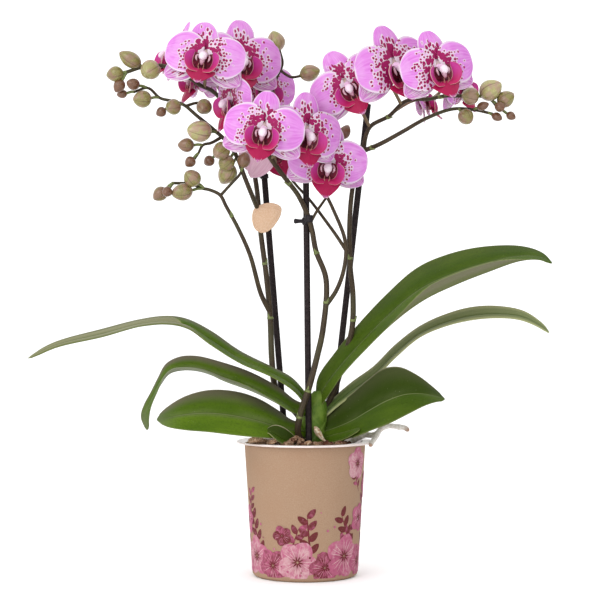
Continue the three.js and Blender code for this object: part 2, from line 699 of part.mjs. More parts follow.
// The place on a spike's stems nearest to a point, so that what leaves a stem is rooted in it
function rootOn(stems, point) {
  let best = null;
  stems.forEach((route) => {
    const stations = stationsOn(route, stepsOn(route));
    for (let i = 1; i < stations.length; i += 1) {
      const piece = new THREE.Line3(stations[i - 1], stations[i]);
      const place = piece.closestPointToPoint(point, true, new THREE.Vector3());
      if (best === null || place.distanceTo(point) < best.distanceTo(point)) best = place;
    }
  });
  return best;
}

function routesOf(name) {
  const routes = [];
  SPIKES[name].stems.forEach(([list]) => {
    const route = spots(list);
    if (routes.length > 0) route[0] = rootOn(routes, route[0]);
    routes.push(route);
  });
  return routes;
}

function stemsOf(name, grow = 0) {
  return routesOf(name).map((route, i) => {
    const [, first, last] = SPIKES[name].stems[i];
    return stem(route, first, last, i === 0 ? STEM_SIDES : BRANCH_SIDES, stepsOn(route), grow);
  });
}

function spikeBody(name) {
  const { bracts, buds, blooms } = SPIKES[name];
  const routes = routesOf(name);
  const rooted = (place) => rootOn(routes, spot(...place));
  return fuse([
    ...stemsOf(name),
    ...bracts.map(([at, tip, radius]) => bract(rooted(at), spot(...tip), radius)),
    ...buds.map(([at, long, wide, from]) => bud(spot(...at), long, wide, rooted(from))),
    ...Object.entries(blooms).map(([letter, [from, ...via]]) => (
      stalkInto(BLOOMS[letter], [rooted(from), ...spots(via)])
    )),
  ]);
}

// Clips that hold a spike to its stake: a block round both, with a plain hole for the stake
const CLIPS = {
  clip_left: { at: [258, 176, 20], long: 12, high: 3.2, deep: 8 },
  clip_middle: { at: [305, 221, 0.5], long: 16, high: 5.2, deep: 11 },
};

function clipBody(name) {
  const { at, long, high, deep } = CLIPS[name];
  const block = new THREE.BoxGeometry(long, deep, high);
  const centre = spot(...at);
  block.translate(centre.x, centre.y, centre.z);
  return solid(block);
}

// Tag: a rounded card on the left stake
const TAG_OUTLINE = [[254, 209], [262, 204], [273, 203], [281, 207], [281, 214], [277, 222], [270, 230], [262, 233],
  [255, 229], [252, 219]];
const TAG_DEPTH = 8;
const TAG_THICK = 0.8;

function tagBody() {
  const outline = new THREE.CatmullRomCurve3(spots(TAG_OUTLINE.map(([x, y]) => [x, y, TAG_DEPTH])), true);
  const flat = outline.getSpacedPoints(18).slice(0, 18).map((p) => new THREE.Vector2(p.x, p.z));
  const card = new THREE.ExtrudeGeometry(new THREE.Shape(flat), { depth: TAG_THICK, bevelEnabled: false });
  card.rotateX(Math.PI / 2);
  card.translate(0, TAG_DEPTH, 0);
  return solid(card);
}

// Roots: one over the rim, and a dry stub at the crown's foot
const RIM_ROOT = [[344, 450, 7], [350, 443, 8], [357, 438, 8], [366, 435, 8], [374, 435, 6], [379, 431, 5], [384, 427, 4],
  [391, 426, 4], [399, 427, 4], [405, 428, 4], [409, 431, 4]];
const RIM_ROOT_RADIUS = 1.7;
const DRY_ROOT = [[318, 430, -9.5], [321, 436, -12], [325, 441, -14], [328, 447, -15]];
const DRY_ROOT_RADIUS = 1.5;

function rimRoot(grow = 0) {
  return stem(spots(RIM_ROOT), RIM_ROOT_RADIUS, RIM_ROOT_RADIUS * 0.8, 6, 14, grow);
}

function dryRoot(grow = 0) {
  return stem(spots(DRY_ROOT), DRY_ROOT_RADIUS, DRY_ROOT_RADIUS * 0.5, 6, 4, grow);
}

// Assembly: stiffer pieces are whole, and softer ones are cut clear of them
const stakeNames = Object.keys(STAKES);
const spikeNames = Object.keys(SPIKES);
const stakeCuts = stakeNames.map((name) => stakeBody(name, CLEAR));
const spikeCuts = spikeNames.flatMap((name) => stemsOf(name, CLEAR));
const crownCut = crown(CLEAR);
const rootCuts = [rimRoot(CLEAR), dryRoot(CLEAR)];

const bodies = {};
bodies.cover_pot = coverPot();
bodies.grow_pot = growPot();
bodies.crown = largest(cutClear(crown(), [...stakeCuts, ...spikeCuts]));
bodies.bark_mix = barkMix([...stakeCuts, ...spikeCuts, ...rootCuts, crownCut]);
stakeNames.forEach((name) => {
  bodies[name] = stakeBody(name);
});

const leafCuts = [];
Object.keys(LEAVES).forEach((name) => {
  const around = [...stakeCuts, ...spikeCuts, ...leafCuts, crownCut];
  bodies[name] = largest(cutClear(leafBody(name), around));
  leafCuts.push(leafBody(name, CLEAR));
});

spikeNames.forEach((name) => {
  bodies[name] = spikeBody(name);
});

Object.entries(BLOOMS).forEach(([letter, place]) => {
  const frame = bloomFrame(place);
  bodies[`bloom_${letter}`] = bloomLocal(place.nod).transform(frame.elements);
  bodies[`lip_${letter}`] = lipLocal().transform(frame.elements);
});

Object.keys(CLIPS).forEach((name) => {
  bodies[name] = largest(cutClear(clipBody(name), [...stakeCuts, ...spikeCuts]));
});
bodies.tag = cutClear(tagBody(), spikeCuts);
bodies.rim_root = largest(cutClear(rimRoot(), leafCuts));
bodies.dry_root = largest(cutClear(dryRoot(), [crownCut, ...leafCuts]));

// Looks of the pieces
const FINISHES = {
  cover_pot: [0xb98e68, 0.85],
  grow_pot: [0xe9e6e2, 0.35],
  bark_mix: [0x7a4a35, 0.95],
  crown: [0x5f8f2a, 0.5],
  leaf: [0x4f7a22, 0.45],
  stake: [0x2e2730, 0.5],
  spike: [0x4a4038, 0.6],
  clip: [0x26222a, 0.5],
  tag: [0xe9bf98, 0.85],
  rim_root: [0xd8dad0, 0.7],
  dry_root: [0xc9a47c, 0.8],
  bloom: [0xe68ce6, 0.55],
  lip: [0xb01c5c, 0.45],
};

const orchid = new THREE.Group();
Object.entries(bodies).forEach(([name, body]) => {
  const [color, roughness] = FINISHES[name] ?? FINISHES[name.split('_')[0]];
  const material = new THREE.MeshStandardMaterial({ color, roughness, metalness: 0 });
  const mesh = new THREE.Mesh(geometryOf(body), material);
  mesh.name = name;
  orchid.add(mesh);
});

export default orchid;
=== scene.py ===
"""A potted moth orchid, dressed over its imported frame. Lengths are millimetres until a mesh is made."""
import math
import random

import bmesh
import bpy
import numpy as np
from mathutils import Matrix, Vector


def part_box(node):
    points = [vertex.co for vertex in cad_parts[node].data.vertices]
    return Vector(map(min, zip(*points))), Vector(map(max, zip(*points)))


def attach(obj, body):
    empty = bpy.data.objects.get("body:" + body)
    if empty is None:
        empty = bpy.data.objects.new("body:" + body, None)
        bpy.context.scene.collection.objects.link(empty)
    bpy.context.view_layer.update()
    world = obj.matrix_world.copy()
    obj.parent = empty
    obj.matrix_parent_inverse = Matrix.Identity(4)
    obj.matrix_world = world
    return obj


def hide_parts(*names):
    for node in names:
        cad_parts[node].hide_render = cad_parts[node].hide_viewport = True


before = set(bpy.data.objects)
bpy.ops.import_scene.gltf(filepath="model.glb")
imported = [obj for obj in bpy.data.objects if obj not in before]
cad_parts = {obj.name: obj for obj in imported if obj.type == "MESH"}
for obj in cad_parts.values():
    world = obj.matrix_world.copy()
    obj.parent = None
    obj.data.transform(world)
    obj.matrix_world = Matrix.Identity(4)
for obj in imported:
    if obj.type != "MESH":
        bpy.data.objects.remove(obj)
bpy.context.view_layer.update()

# The view that places come from: a level eye, and the real size of a pixel in the plane through the pot
MM = 0.001
EYE_DISTANCE = 1240
EYE_HEIGHT = 192.3
EYE_ACROSS = -3.5
PIXEL = 0.7
MIDDLE_PIXEL = 300

# The pots, the bark, the rods, the leaves and the thin stalks
POT_HEIGHT = 94
POT_TOP_RADIUS = 42.4
POT_FOOT_RADIUS = 36.6
FLANGE_RADIUS = 48
FLANGE_THICK = 1.3
RIM_INNER_RADIUS = 39.9
BARK_RADIUS = 39
BARK_TOP = 89.5
STAKE_RADIUS = 2.3
LEAF_THICK = 2.0
TWIG_RADIUS = 1.0

# A full turn in radians
TURN = 2 * math.pi


def spot(across, down, depth):
    """The place seen at a pixel of the view, at a depth behind the pot's axis."""
    size = PIXEL * (EYE_DISTANCE + depth) / EYE_DISTANCE
    x = EYE_ACROSS + (across - MIDDLE_PIXEL) * size
    z = EYE_HEIGHT + (MIDDLE_PIXEL - down) * size
    return np.array([x, depth, z])


def spots(places):
    return np.array([spot(*place) for place in places])


# Curves

def curve_at(places, shares):
    """Points on a smooth curve, at shares of the way counted from place to place."""
    held = np.array(places, float)
    held = np.vstack([2 * held[0] - held[1], held, 2 * held[-1] - held[-2]])
    points = []
    for share in shares:
        way = share * (len(places) - 1)
        k = min(int(way), len(places) - 2)
        t = way - k
        p0, p1, p2, p3 = held[k:k + 4]
        d0, d1, d2 = (np.linalg.norm(b - a) ** 0.5 for a, b in ((p0, p1), (p1, p2), (p2, p3)))
        out = ((p1 - p0) / d0 - (p2 - p0) / (d0 + d1) + (p2 - p1) / d1) * d1
        into = ((p2 - p1) / d1 - (p3 - p1) / (d1 + d2) + (p3 - p2) / d2) * d1
        cubed = 2 * p1 - 2 * p2 + out + into
        squared = -3 * p1 + 3 * p2 - 2 * out - into
        points.append(p1 + out * t + squared * t * t + cubed * t ** 3)
    return np.array(points)


def run_along(points):
    """How far along a line each of its points lies."""
    return np.concatenate([[0], np.cumsum(np.linalg.norm(np.diff(points, axis=0), axis=1))])


def even_curve(places, step):
    """Points about a step apart along the same curve."""
    fine = curve_at(places, np.linspace(0, 1, 24 * len(places)))
    run = run_along(fine)
    stations = np.linspace(0, run[-1], max(4, int(run[-1] / step) + 1))
    return np.stack([np.interp(stations, run, fine[:, axis]) for axis in range(3)], axis=1)


def unit_vector(vector):
    return vector / np.linalg.norm(vector)


# Meshes

def placed(name, data):
    """A new object in the scene."""
    obj = bpy.data.objects.new(name, data)
    bpy.context.scene.collection.objects.link(obj)
    return obj


class Skin:
    """Gathers grids of points into one mesh, with two sets of measures at each point for its material."""

    def __init__(self):
        self.points = []
        self.unit = []
        self.flat = []
        self.faces = []
        self.slots = []
        self.count = 0

    def grid(self, points, slot=0, unit=0.0, flat=0.0, closed=True, capped=True):
        """Rows of points. closed joins the ends of each row, and capped fills the first and the last row."""
        rows, columns = points.shape[:2]
        index = self.count + np.arange(rows * columns).reshape(rows, columns)
        if closed:
            index = np.hstack([index, index[:, :1]])
        quads = np.stack([index[:-1, :-1], index[:-1, 1:], index[1:, 1:], index[1:, :-1]], axis=-1)
        faces = quads.reshape(-1, 4).tolist()
        if capped:
            faces.append(index[0, :columns][::-1].tolist())
            faces.append(index[-1, :columns].tolist())
        self.faces += faces
        self.slots += [slot] * len(faces)
        self.count += rows * columns
        for kept, values in ((self.points, points), (self.unit, unit), (self.flat, flat)):
            kept.append(np.broadcast_to(values, (rows, columns, 3)).reshape(-1, 3))

    def sheet(self, middle, thick, u, v, slot=0, x=0.0, y=0.0, tone=0.0, front=1.0):
        """A closed skin round a curved sheet: its front face out and its back face home again."""
        normal = np.cross(np.gradient(middle, axis=0), np.gradient(middle, axis=1))
        normal = normal / np.maximum(np.linalg.norm(normal, axis=-1, keepdims=True), 1e-9)
        half = np.asarray(thick)[..., None] / 2
        points = np.concatenate([middle + normal * half, (middle - normal * half)[:, ::-1]], axis=1)
        fronts = [measure * np.ones_like(u) for measure in (u, v, x, y)]
        u, v, x, y = (np.hstack([measure, measure[:, ::-1]]) for measure in fronts)
        side = np.hstack([front * np.ones_like(fronts[0]), np.zeros_like(fronts[0])])
        self.grid(points, slot, stacked(u, v, side), stacked(x, y, tone))

    def piece(self, name, looks, slot, nodes=(), moved=None, smooth=True):
        mesh = bpy.data.meshes.new(name)
        mesh.from_pydata((np.vstack(self.points) * MM).tolist(), [], self.faces)
        mesh.polygons.foreach_set("material_index", self.slots)
        mesh.polygons.foreach_set("use_smooth", [smooth] * len(self.faces))
        for label, rows in (("unit", self.unit), ("flat", self.flat)):
            attribute = mesh.attributes.new(label, "FLOAT_VECTOR", "POINT")
            attribute.data.foreach_set("vector", np.vstack(rows).astype(np.float32).ravel())
        for look in looks:
            mesh.materials.append(look.material)
        shape = bmesh.new()
        shape.from_mesh(mesh)
        bmesh.ops.recalc_face_normals(shape, faces=shape.faces)
        shape.to_mesh(mesh)
        shape.free()
        if moved is not None:
            mesh.transform(moved)
        obj = placed(name, mesh)
        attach(obj, "root")
        if nodes:
            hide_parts(*nodes)


def stacked(*layers):
    """Vectors from their separate measures."""
    return np.stack(np.broadcast_arrays(*layers), axis=-1).astype(float)


def dome(v):
    """1 at the midline of a sheet and 0 at its margins, as a half circle."""
    return np.sqrt(np.clip(1 - v * v, 0, 1))


def eased(share):
    """A share that starts and ends gently, held between 0 and 1."""
    held = np.clip(share, 0, 1)
    return held * held * (3 - 2 * held)


def crossed(along, across, start=0.0, even=False):
    """Shares along a sheet, closer together at its tip unless even, and across it, closer at its margins."""
    u = np.linspace(0, 1, along)
    if not even:
        u = start + (1 - start) * np.sin(u * math.pi / 2) ** 1.2
    v = np.sin(np.linspace(-1, 1, across) * math.pi / 2)
    return np.meshgrid(u, v, indexing="ij")


def rings_on(centres):
    """Two directions square to a path at each of its points, with no twist from one to the next."""
    ahead = np.gradient(centres, axis=0)
    ahead /= np.linalg.norm(ahead, axis=1, keepdims=True)
    helper = np.array([0.0, 1.0, 0.0]) if abs(ahead[0][1]) < 0.9 else np.array([1.0, 0.0, 0.0])
    side = np.cross(ahead[0], helper)
    sides = []
    for direction in ahead:
        side = unit_vector(side - direction * np.dot(side, direction))
        sides.append(side)
    sides = np.array(sides)
    return sides, np.cross(ahead, sides)


def tube(skin, centres, radii, sides, slot=0, tone=0.0, lobes=None):
    """A tube along points. lobes changes the radius by angle and by share of the way."""
    one, two = rings_on(centres)
    share = np.linspace(0, 1, len(centres))[:, None]
    angle = (np.arange(sides) * TURN / sides)[None, :]
    radius = np.asarray(radii, float).reshape(-1, 1) * np.ones((len(centres), sides))
    if lobes is not None:
        radius = radius * lobes(angle, share)
    points = centres[:, None, :] + radius[..., None] * (
        np.cos(angle)[..., None] * one[:, None, :] + np.sin(angle)[..., None] * two[:, None, :])
    unit = stacked(share, angle / TURN, tone)
    flat = stacked(run_along(centres)[:, None], angle * np.mean(radius), tone)
    skin.grid(points, slot, unit, flat)


def turned(profile, sides, ripple=None):
    """Rings of a surface turned round the Z axis, from its radii and heights."""
    angle = np.linspace(0, TURN, sides, endpoint=False)
    radius, height = np.array(profile, float).T[..., None] * np.ones(sides)
    if ripple is not None:
        radius = radius + ripple(angle, height)
    return stacked(radius * np.cos(angle), radius * np.sin(angle), height)


# Materials

# A colour is written as it is seen. The light is brighter than one, so it is painted this much darker.
PAINTED = 0.62


def colour(code, painted=PAINTED):
    parts = [int(code[i:i + 2], 16) / 255 for i in (0, 2, 4)]
    linear = [part / 12.92 if part <= 0.04045 else ((part + 0.055) / 1.055) ** 2.4 for part in parts]
    return (*(part * painted for part in linear), 1.0)


class Value:
    """A node's output, with the arithmetic of math nodes."""

    def __init__(self, nodes, socket):
        self.nodes = nodes
        self.socket = socket

    def math(self, operation, *others):
        return self.nodes.add("Math", 0, dict(enumerate((self, *others))), operation=operation)

    def __add__(self, other):
        return self.math("ADD", other)

    def __sub__(self, other):
        return self.math("SUBTRACT", other)

    def __mul__(self, other):
        return self.math("MULTIPLY", other)

    def __truediv__(self, other):
        return self.math("DIVIDE", other)

    def __abs__(self):
        return self.math("ABSOLUTE")

    def band(self, low, high):
        """Rises smoothly from 0 to 1 while the value goes from low to high."""
        inputs = {"Value": self, "From Min": low, "From Max": high}
        return self.nodes.add("MapRange", 0, inputs, interpolation_type="SMOOTHSTEP")

    def axis(self, name):
        return self.nodes.add("SeparateXYZ", name, {0: self})

    def other(self, output):
        """Another output of the same node."""
        return Value(self.nodes, self.socket.node.outputs[output])


class Nodes:
    """A node tree. An input is a number, a colour, a colour's code or another node's value."""

    def __init__(self, tree):
        self.tree = tree

    def feed(self, socket, value):
        if isinstance(value, Value):
            self.tree.links.new(value.socket, socket)
        else:
            socket.default_value = colour(value) if isinstance(value, str) else value

    def add(self, kind, output=0, inputs=(), **settings):
        node = self.tree.nodes.new("ShaderNode" + kind)
        for setting, value in settings.items():
            setattr(node, setting, value)
        for key, value in dict(inputs).items():
            self.feed(node.inputs[key], value)
        return Value(self, node.outputs[output])

    def mix(self, share, a, b):
        return self.add("Mix", 2, {0: share, 6: a, 7: b}, data_type="RGBA")

    def layers(self, base, *covers):
        """Colours laid over a base in turn, each with the share of it that shows."""
        for share, cover in covers:
            base = self.mix(share, base, cover)
        return base

    def place(self, x, y, z=0.0):
        return self.add("CombineXYZ", 0, {0: x, 1: y, 2: z})

    def noise(self, place, scale=1.0, detail=2.0, distortion=0.0):
        inputs = {"Vector": place, "Scale": scale, "Detail": detail, "Distortion": distortion}
        return self.add("TexNoise", 0, inputs)

    def cells(self, place, scale=1.0, randomness=1.0, **settings):
        inputs = {"Vector": place, "Scale": scale, "Randomness": randomness}
        return self.add("TexVoronoi", 0, inputs, **settings)

    def here(self, scale=1000.0):
        """The place on the object in millimetres."""
        inputs = {0: self.add("TexCoord", "Object"), 1: (scale,) * 3}
        return self.add("VectorMath", 0, inputs, operation="MULTIPLY")


class Look(Nodes):
    """A material, with the settings of its shader that are the same all over."""

    def __init__(self, name, **fixed):
        self.material = bpy.data.materials.new(name)
        self.material.use_nodes = True
        super().__init__(self.material.node_tree)
        self.shader = self.tree.nodes["Principled BSDF"]
        for socket, value in fixed.items():
            self.shader.inputs[socket.replace("_", " ")].default_value = value

    def parts(self, label):
        """The three measures of a mesh's attribute."""
        vector = self.add("Attribute", "Vector", attribute_name=label, attribute_type="GEOMETRY")
        return [vector.axis(name) for name in "XYZ"]

    def paint(self, base, *covers):
        self.feed(self.shader.inputs["Base Color"], self.layers(base, *covers))

    def rough(self, value):
        self.feed(self.shader.inputs["Roughness"], value)

    def bump(self, height, strength, distance=0.0002):
        inputs = {"Strength": strength, "Distance": distance, "Height": height}
        self.feed(self.shader.inputs["Normal"], self.add("Bump", 0, inputs))


# Pale things are painted less dark, so that they stay pale. The tepals' backs and the roots are painted
# lighter still: painted light that lifts the shade which falls on them
PETAL_PAINTED = 0.66
POT_PAINTED = 0.78
SHADE_LIFTED_PAINTED = 0.85

# How the spots lie on each kind of tepal, in mm: a cell's length and width, how far out from the bloom's
# middle they run together, how far they reach, how far they keep to the midline, how far the white ground
# reaches, how strongly the tepal is striped, and how far below the bloom's middle they gather
TEPAL_SPOTS = {
    "petal": (2.3, 2.3, 10.0, 17.0, 40.0, 10.0, 0.15, 2.5),
    "upper_sepal": (4.2, 2.1, 12.0, 18.5, 5.5, 12.0, 0.25, 0.0),
    "lower_sepal": (6.4, 1.8, 11.0, 20.0, 6.5, 27.0, 1.0, 0.0),
}
SPOT_MERGED = 0.72
SPOT_SINGLE = 0.33


def tepal_look(kind):
    cell_long, cell_wide, merged, reach, spread, ground, striped, drop = TEPAL_SPOTS[kind]
    look = Look(kind, Specular_IOR_Level=0.2, Sheen_Weight=0.03, Subsurface_Weight=0.1,
                Subsurface_Radius=(0.0012, 0.0006, 0.0010))
    u, v, front = look.parts("unit")
    x, y, seed = look.parts("flat")
    flat = look.place(x, y, seed)
    far = (x * x + y * y).math("SQRT")
    veins = look.noise(look.place(x * 0.06, v * 9.0, seed), 1.0, 3.0)
    stripes = look.noise(look.place(x * 0.09, v * 15.0, seed), 1.0, 3.0)
    clouds = look.noise(flat, 0.12)
    pink = look.layers(
        colour("F6A0F7", PETAL_PAINTED),
        (veins.band(0.35, 0.7), colour("E884E8", PETAL_PAINTED)),
        (clouds.band(0.4, 0.7) * 0.6, colour("FABFFB", PETAL_PAINTED)),
    )
    streaky = far + (veins - 0.5) * 14.0
    margin = abs(v).band(0.87, 0.97).math("MAXIMUM", u.band(0.95, 0.99))
    # Spots: one in each cell, smaller the farther out its own place lies, each in a pale ring
    shift = seed * 7.0
    wander = look.noise(flat, 0.3) * 0.7
    cell = look.place(x / cell_long + shift, y / cell_wide + wander)
    dots = look.cells(cell, 1.0, 0.85, voronoi_dimensions="2D")
    own_x = (dots.other("Position").axis("X") - shift) * cell_long
    own_y = (dots.other("Position").axis("Y") - 0.35) * cell_wide
    lowered = own_y + drop
    out = (own_x * own_x + lowered * lowered).math("SQRT")
    size_luck, reach_luck = (dots.other("Color").axis(name) for name in "XY")
    bloom_luck = (seed * 0.37).math("FRACT")
    clumps = look.noise(look.place(own_x, own_y, seed), 0.15, 1.0)
    near = out + (clumps - 0.5) * 9.0
    thinned = out + (reach_luck - 0.5) * 8.0 + (bloom_luck - 0.5) * 3.0
    size = near.band(merged + 4.0, merged - 1.0) * (SPOT_MERGED - SPOT_SINGLE) + SPOT_SINGLE
    size = size * (size_luck * 0.5 + 0.75) * thinned.band(reach + 0.3, reach - 0.3)
    size = size * far.band(3.5, 6.0) * abs(own_y).band(spread + 0.8, spread - 0.8)
    gap = dots - size
    halo = gap.band(0.42, 0.12) * size.band(0.04, 0.14)
    inked = gap.band(0.04, -0.04) * size.band(0.05, 0.12)
    face = look.layers(
        "FBEAF6",
        (streaky.band(ground - 4.0, ground + 4.0), pink),
        (stripes.band(0.42, 0.58) * striped, "D872CE"),
        (margin * 0.8, colour("FDF4FC", PETAL_PAINTED)),
        (halo * 0.85, "FDF3FB"),
        (inked, look.mix(look.noise(flat, 0.5), "BE1C76", "A20C52")),
    )
    # The back: its pale colours carry painted light that lifts the shade falling on it
    back = look.mix(veins.band(0.3, 0.7), colour("F4D0E0", SHADE_LIFTED_PAINTED), colour("E9BAD1", SHADE_LIFTED_PAINTED))
    look.paint(look.mix(front, back, face))
    look.rough(veins * 0.2 + 0.45)
    look.bump(veins, 0.3, 0.0003)
    return look


def lobe_look():
    look = Look("lip_lobe", Roughness=0.45, Specular_IOR_Level=0.22, Sheen_Weight=0.02)
    u, v, _ = look.parts("unit")
    _, _, seed = look.parts("flat")
    streaks = look.noise(look.place(u * 2.0, v * 6.0, seed), 1.0, 3.0)
    look.paint(
        "CE2068",
        (u.band(0.2, 0.8), "D63CA0"),
        (streaks.band(0.45, 0.75) * 0.35, "B81858"),
        (abs(v).band(0.85, 0.97) * 0.8, "EFC8B8"),
    )
    look.bump(streaks, 0.25)
    return look


def mid_look():
    look = Look("lip_middle", Roughness=0.48, Specular_IOR_Level=0.2, Sheen_Weight=0.02)
    u, v, _ = look.parts("unit")
    _, _, seed = look.parts("flat")
    veins = look.noise(look.place(u * 1.5, v * 7.0, seed), 1.0, 3.0)
    look.paint(
        "BC0F54",
        (u.band(0.9, 1.0), "DA78C8"),
        (veins.band(0.5, 0.75) * 0.35, "960F40"),
        (u.band(0.44, 0.36), "5A0C22"),
    )
    look.bump(veins, 0.25)
    return look


def column_look():
    """Pink where it grows from the bloom, white at its cap, and rosy under it, darker toward the pad's lower
    end as painted shade.
    """
    look = Look("column", Roughness=0.36, Specular_IOR_Level=0.45)
    along, _, under = look.parts("unit")
    clouds = look.noise(look.here(), 0.5)
    body = look.layers(
        colour("F4C8EC", 0.75),
        (along.band(0.3, 0.75), colour("FBE8F5", 0.74)),
        (clouds.band(0.5, 0.75) * 0.3, colour("F0CCE6", 0.72)),
    )
    # The pad under the tip: rosy, with painted shade darkening it toward its lower end
    look.paint(look.mix(under, body, look.mix(along, "F4D2E2", "C87A98")))
    look.bump(clouds, 0.1)
    return look


def plain_look(name, light, dark, scale, roughness, bump=0.2, bump_depth=0.0002, **fixed):
    """Two close colours in a fine grain, with the same grain as relief."""
    look = Look(name, Roughness=roughness, **fixed)
    grain = look.noise(look.here(), scale, 4.0)
    look.paint(look.mix(grain.band(0.3, 0.7), light, dark))
    look.bump(grain, bump, bump_depth)
    return look


# How much painted shade darkens each leaf's far half and near half, how strong the painted grey sheen toward
# its far margin is, how pale its margins are, and its underside's colour and that of its margins
LEAF_TONES = {
    "upper_left": (0.35, 0.3, 0.7, 0.4, "9C9B78", "6A7634"),
    "mid_left": (0.42, 0.3, 0.95, 0.4, "8F967A", "8F967A"),
    "low_left": (0.3, 0.14, 0.85, 0.5, "93906E", "76803E"),
    "curled_left": (0.9, 0.6, 0.0, 1.0, "93A05A", "B2B078"),
    "upper_right": (0.55, 0.45, 0.15, 0.4, "7C7A60", "66703A"),
    "mid_right": (0.5, 0.4, 0.6, 0.6, "8E9868", "C2C58E"),
    "low_right": (0.85, 0.55, 0.25, 0.5, "93906E", "76803E"),
    "folded_right": (0.5, 0.5, 0.2, 0.5, "93A05A", "76803E"),
}


def leaf_look(name):
    far_shade, near_shade, sheen_strength, pale_margin, underside, under_margin = LEAF_TONES[name]
    look = Look(f"leaf_{name}", Specular_IOR_Level=0.07)
    u, v, front = look.parts("unit")
    x, y, tone = look.parts("flat")
    here = look.here()
    off_middle = abs(v)
    veins = look.noise(look.place(x * 0.012, y * 0.8, tone), 1.0, 3.0)
    clouds = look.noise(look.place(x * 0.03, y * 0.07, tone), 1.0, 3.0)
    grain = look.noise(here, 1.2, 3.0)
    specks = look.cells(here, 0.28).band(0.07, 0.03)
    # Painted shade over the leaf's far half and near half
    half_shade = {"Value": y, "From Min": -2.0, "From Max": 2.0, "To Min": near_shade, "To Max": far_shade}
    # Painted sheen: grey toward the far margin, and beside the midrib where the leaf bulges, for light
    # glancing off it
    far_sheen = off_middle.band(0.3, 0.95) * y.band(1.0, 7.0)
    folded = off_middle.band(0.35, 0.05) * clouds.band(0.35, 0.65)
    edge = off_middle.band(1.0 - 0.12 * pale_margin, 1.0) * pale_margin
    green = look.layers(
        "587A12",
        (clouds.band(0.3, 0.7), "6E8F1C"),
        (veins.band(0.45, 0.75) * 0.25, "445C14"),
        (grain.band(0.5, 0.8) * 0.25, "7F9038"),
        (look.noise(here, 0.75).band(0.5, 0.7) * 0.35, "3C5212"),
        # Painted shade: each half of the leaf darkened by its own share
        (look.add("MapRange", 0, half_shade), "2E3D0E"),
        # Painted sheen, in grey, toward the far margin, toward the tip and beside the midrib
        (far_sheen * sheen_strength, "736B5A"),
        (u.band(0.75, 1.0) * (sheen_strength * 0.5), "858672"),
        (folded * (sheen_strength * 0.4), "828468"),
        # Painted shade in the crease beside the midrib
        (off_middle.band(0.07, 0.02) * 0.45, "384C12"),
        (off_middle.band(0.022, 0.008) * 0.6, "97A06E"),
        (edge * (y.band(-1.0, 1.0) * 0.75 + 0.25), "BEB594"),
        (specks * (clouds * 0.9), "C2C8A4"),
    )
    under = look.layers(
        underside,
        (veins.band(0.35, 0.65) * 0.3, "6F7A40"),
        (grain.band(0.5, 0.8) * 0.25, "AFAF93"),
        (u.band(0.32, 0.08) * 0.7, "66853A"),
        (off_middle.band(0.5, 0.9) * 0.8, under_margin),
        # Painted sheen toward the far margin of the underside
        (far_sheen * (sheen_strength * 0.6), "7A775C"),
        (off_middle.band(0.2, 0.05) * 0.6, "4C6626"),
    )
    ridge = front.band(0.02, 0.4) * front.band(0.98, 0.6)
    look.paint(under, (front.band(0.3, 0.7), green), (ridge * 0.35, "A9B36C"))
    look.rough(clouds * 0.2 + 0.38)
    look.bump(grain, 0.12, 0.0003)
    return look


def crown_look():
    """Yellow-green sheaths, pale at their rims and darker toward the bark."""
    look = Look("crown", Roughness=0.45, Specular_IOR_Level=0.15)
    along, _, rim = look.parts("unit")
    here = look.here()
    grain = look.noise(here, 1.2, 3.0)
    look.paint(
        "7C9A38",
        (look.noise(here, 0.12, 3.0).band(0.35, 0.65), "54771F"),
        (grain.band(0.45, 0.8) * 0.3, "8CA350"),
        (along.band(0.35, 0.05), "3F5A18"),
        (rim * 0.18, "A4B666"),
    )
    look.bump(grain, 0.15, 0.0003)
    return look


def stem_look():
    """Stems: tone 0 is an old brown one, and tone 1 a young pale one."""
    look = Look("stem", Roughness=0.55, Specular_IOR_Level=0.22)
    x, y, tone = look.parts("flat")
    here = look.here()
    streaks = look.noise(look.place(x * 0.1, y * 1.2, tone), 1.0, 3.0)
    old = look.layers(
        "53452F",
        (streaks.band(0.3, 0.7), "3A2C21"),
        (look.cells(here, 1.3).band(0.28, 0.12) * 0.55, "8A8064"),
        (look.noise(here, 0.03, 1.0).band(0.48, 0.64) * 0.4, "525636"),
    )
    look.paint(look.mix(tone, old, look.mix(streaks.band(0.3, 0.7), "B09A78", "8A7454")))
    look.bump(streaks, 0.3, 0.0003)
    return look


def bud_look():
    """Buds: tone 0 is a small brown one, and tone 1 a full yellow-green one."""
    look = Look("bud", Roughness=0.32, Specular_IOR_Level=0.45, Coat_Weight=0.2)
    along, turn, tone = look.parts("unit")
    here = look.here()
    clouds = look.noise(here, 0.17)
    fine = look.noise(here, 1.4, 3.0).band(0.3, 0.7)
    lines = look.noise(look.place(turn * 16.0, along * 1.5), 1.0, 3.0)
    seam = abs((turn * 3.0).math("FRACT") - 0.5)
    look.paint(
        look.mix(fine, "8E6446", "6E4833"),
        (tone.band(0.1, 0.4), look.mix(fine, "A69E5A", "8C8148")),
        (tone.band(0.55, 0.95), look.mix(fine, "CFC98C", "BDB672")),
        (clouds.band(0.44, 0.58) * 0.75, look.mix(tone, "7E5138", "D0A898")),
        (lines.band(0.5, 0.7) * 0.4, "75583A"),
        (along.band(0.14, 0.02), "8FA04C"),
        (seam.band(0.06, 0.0) * 0.6, "68472F"),
    )
    look.bump(clouds, 0.2)
    return look


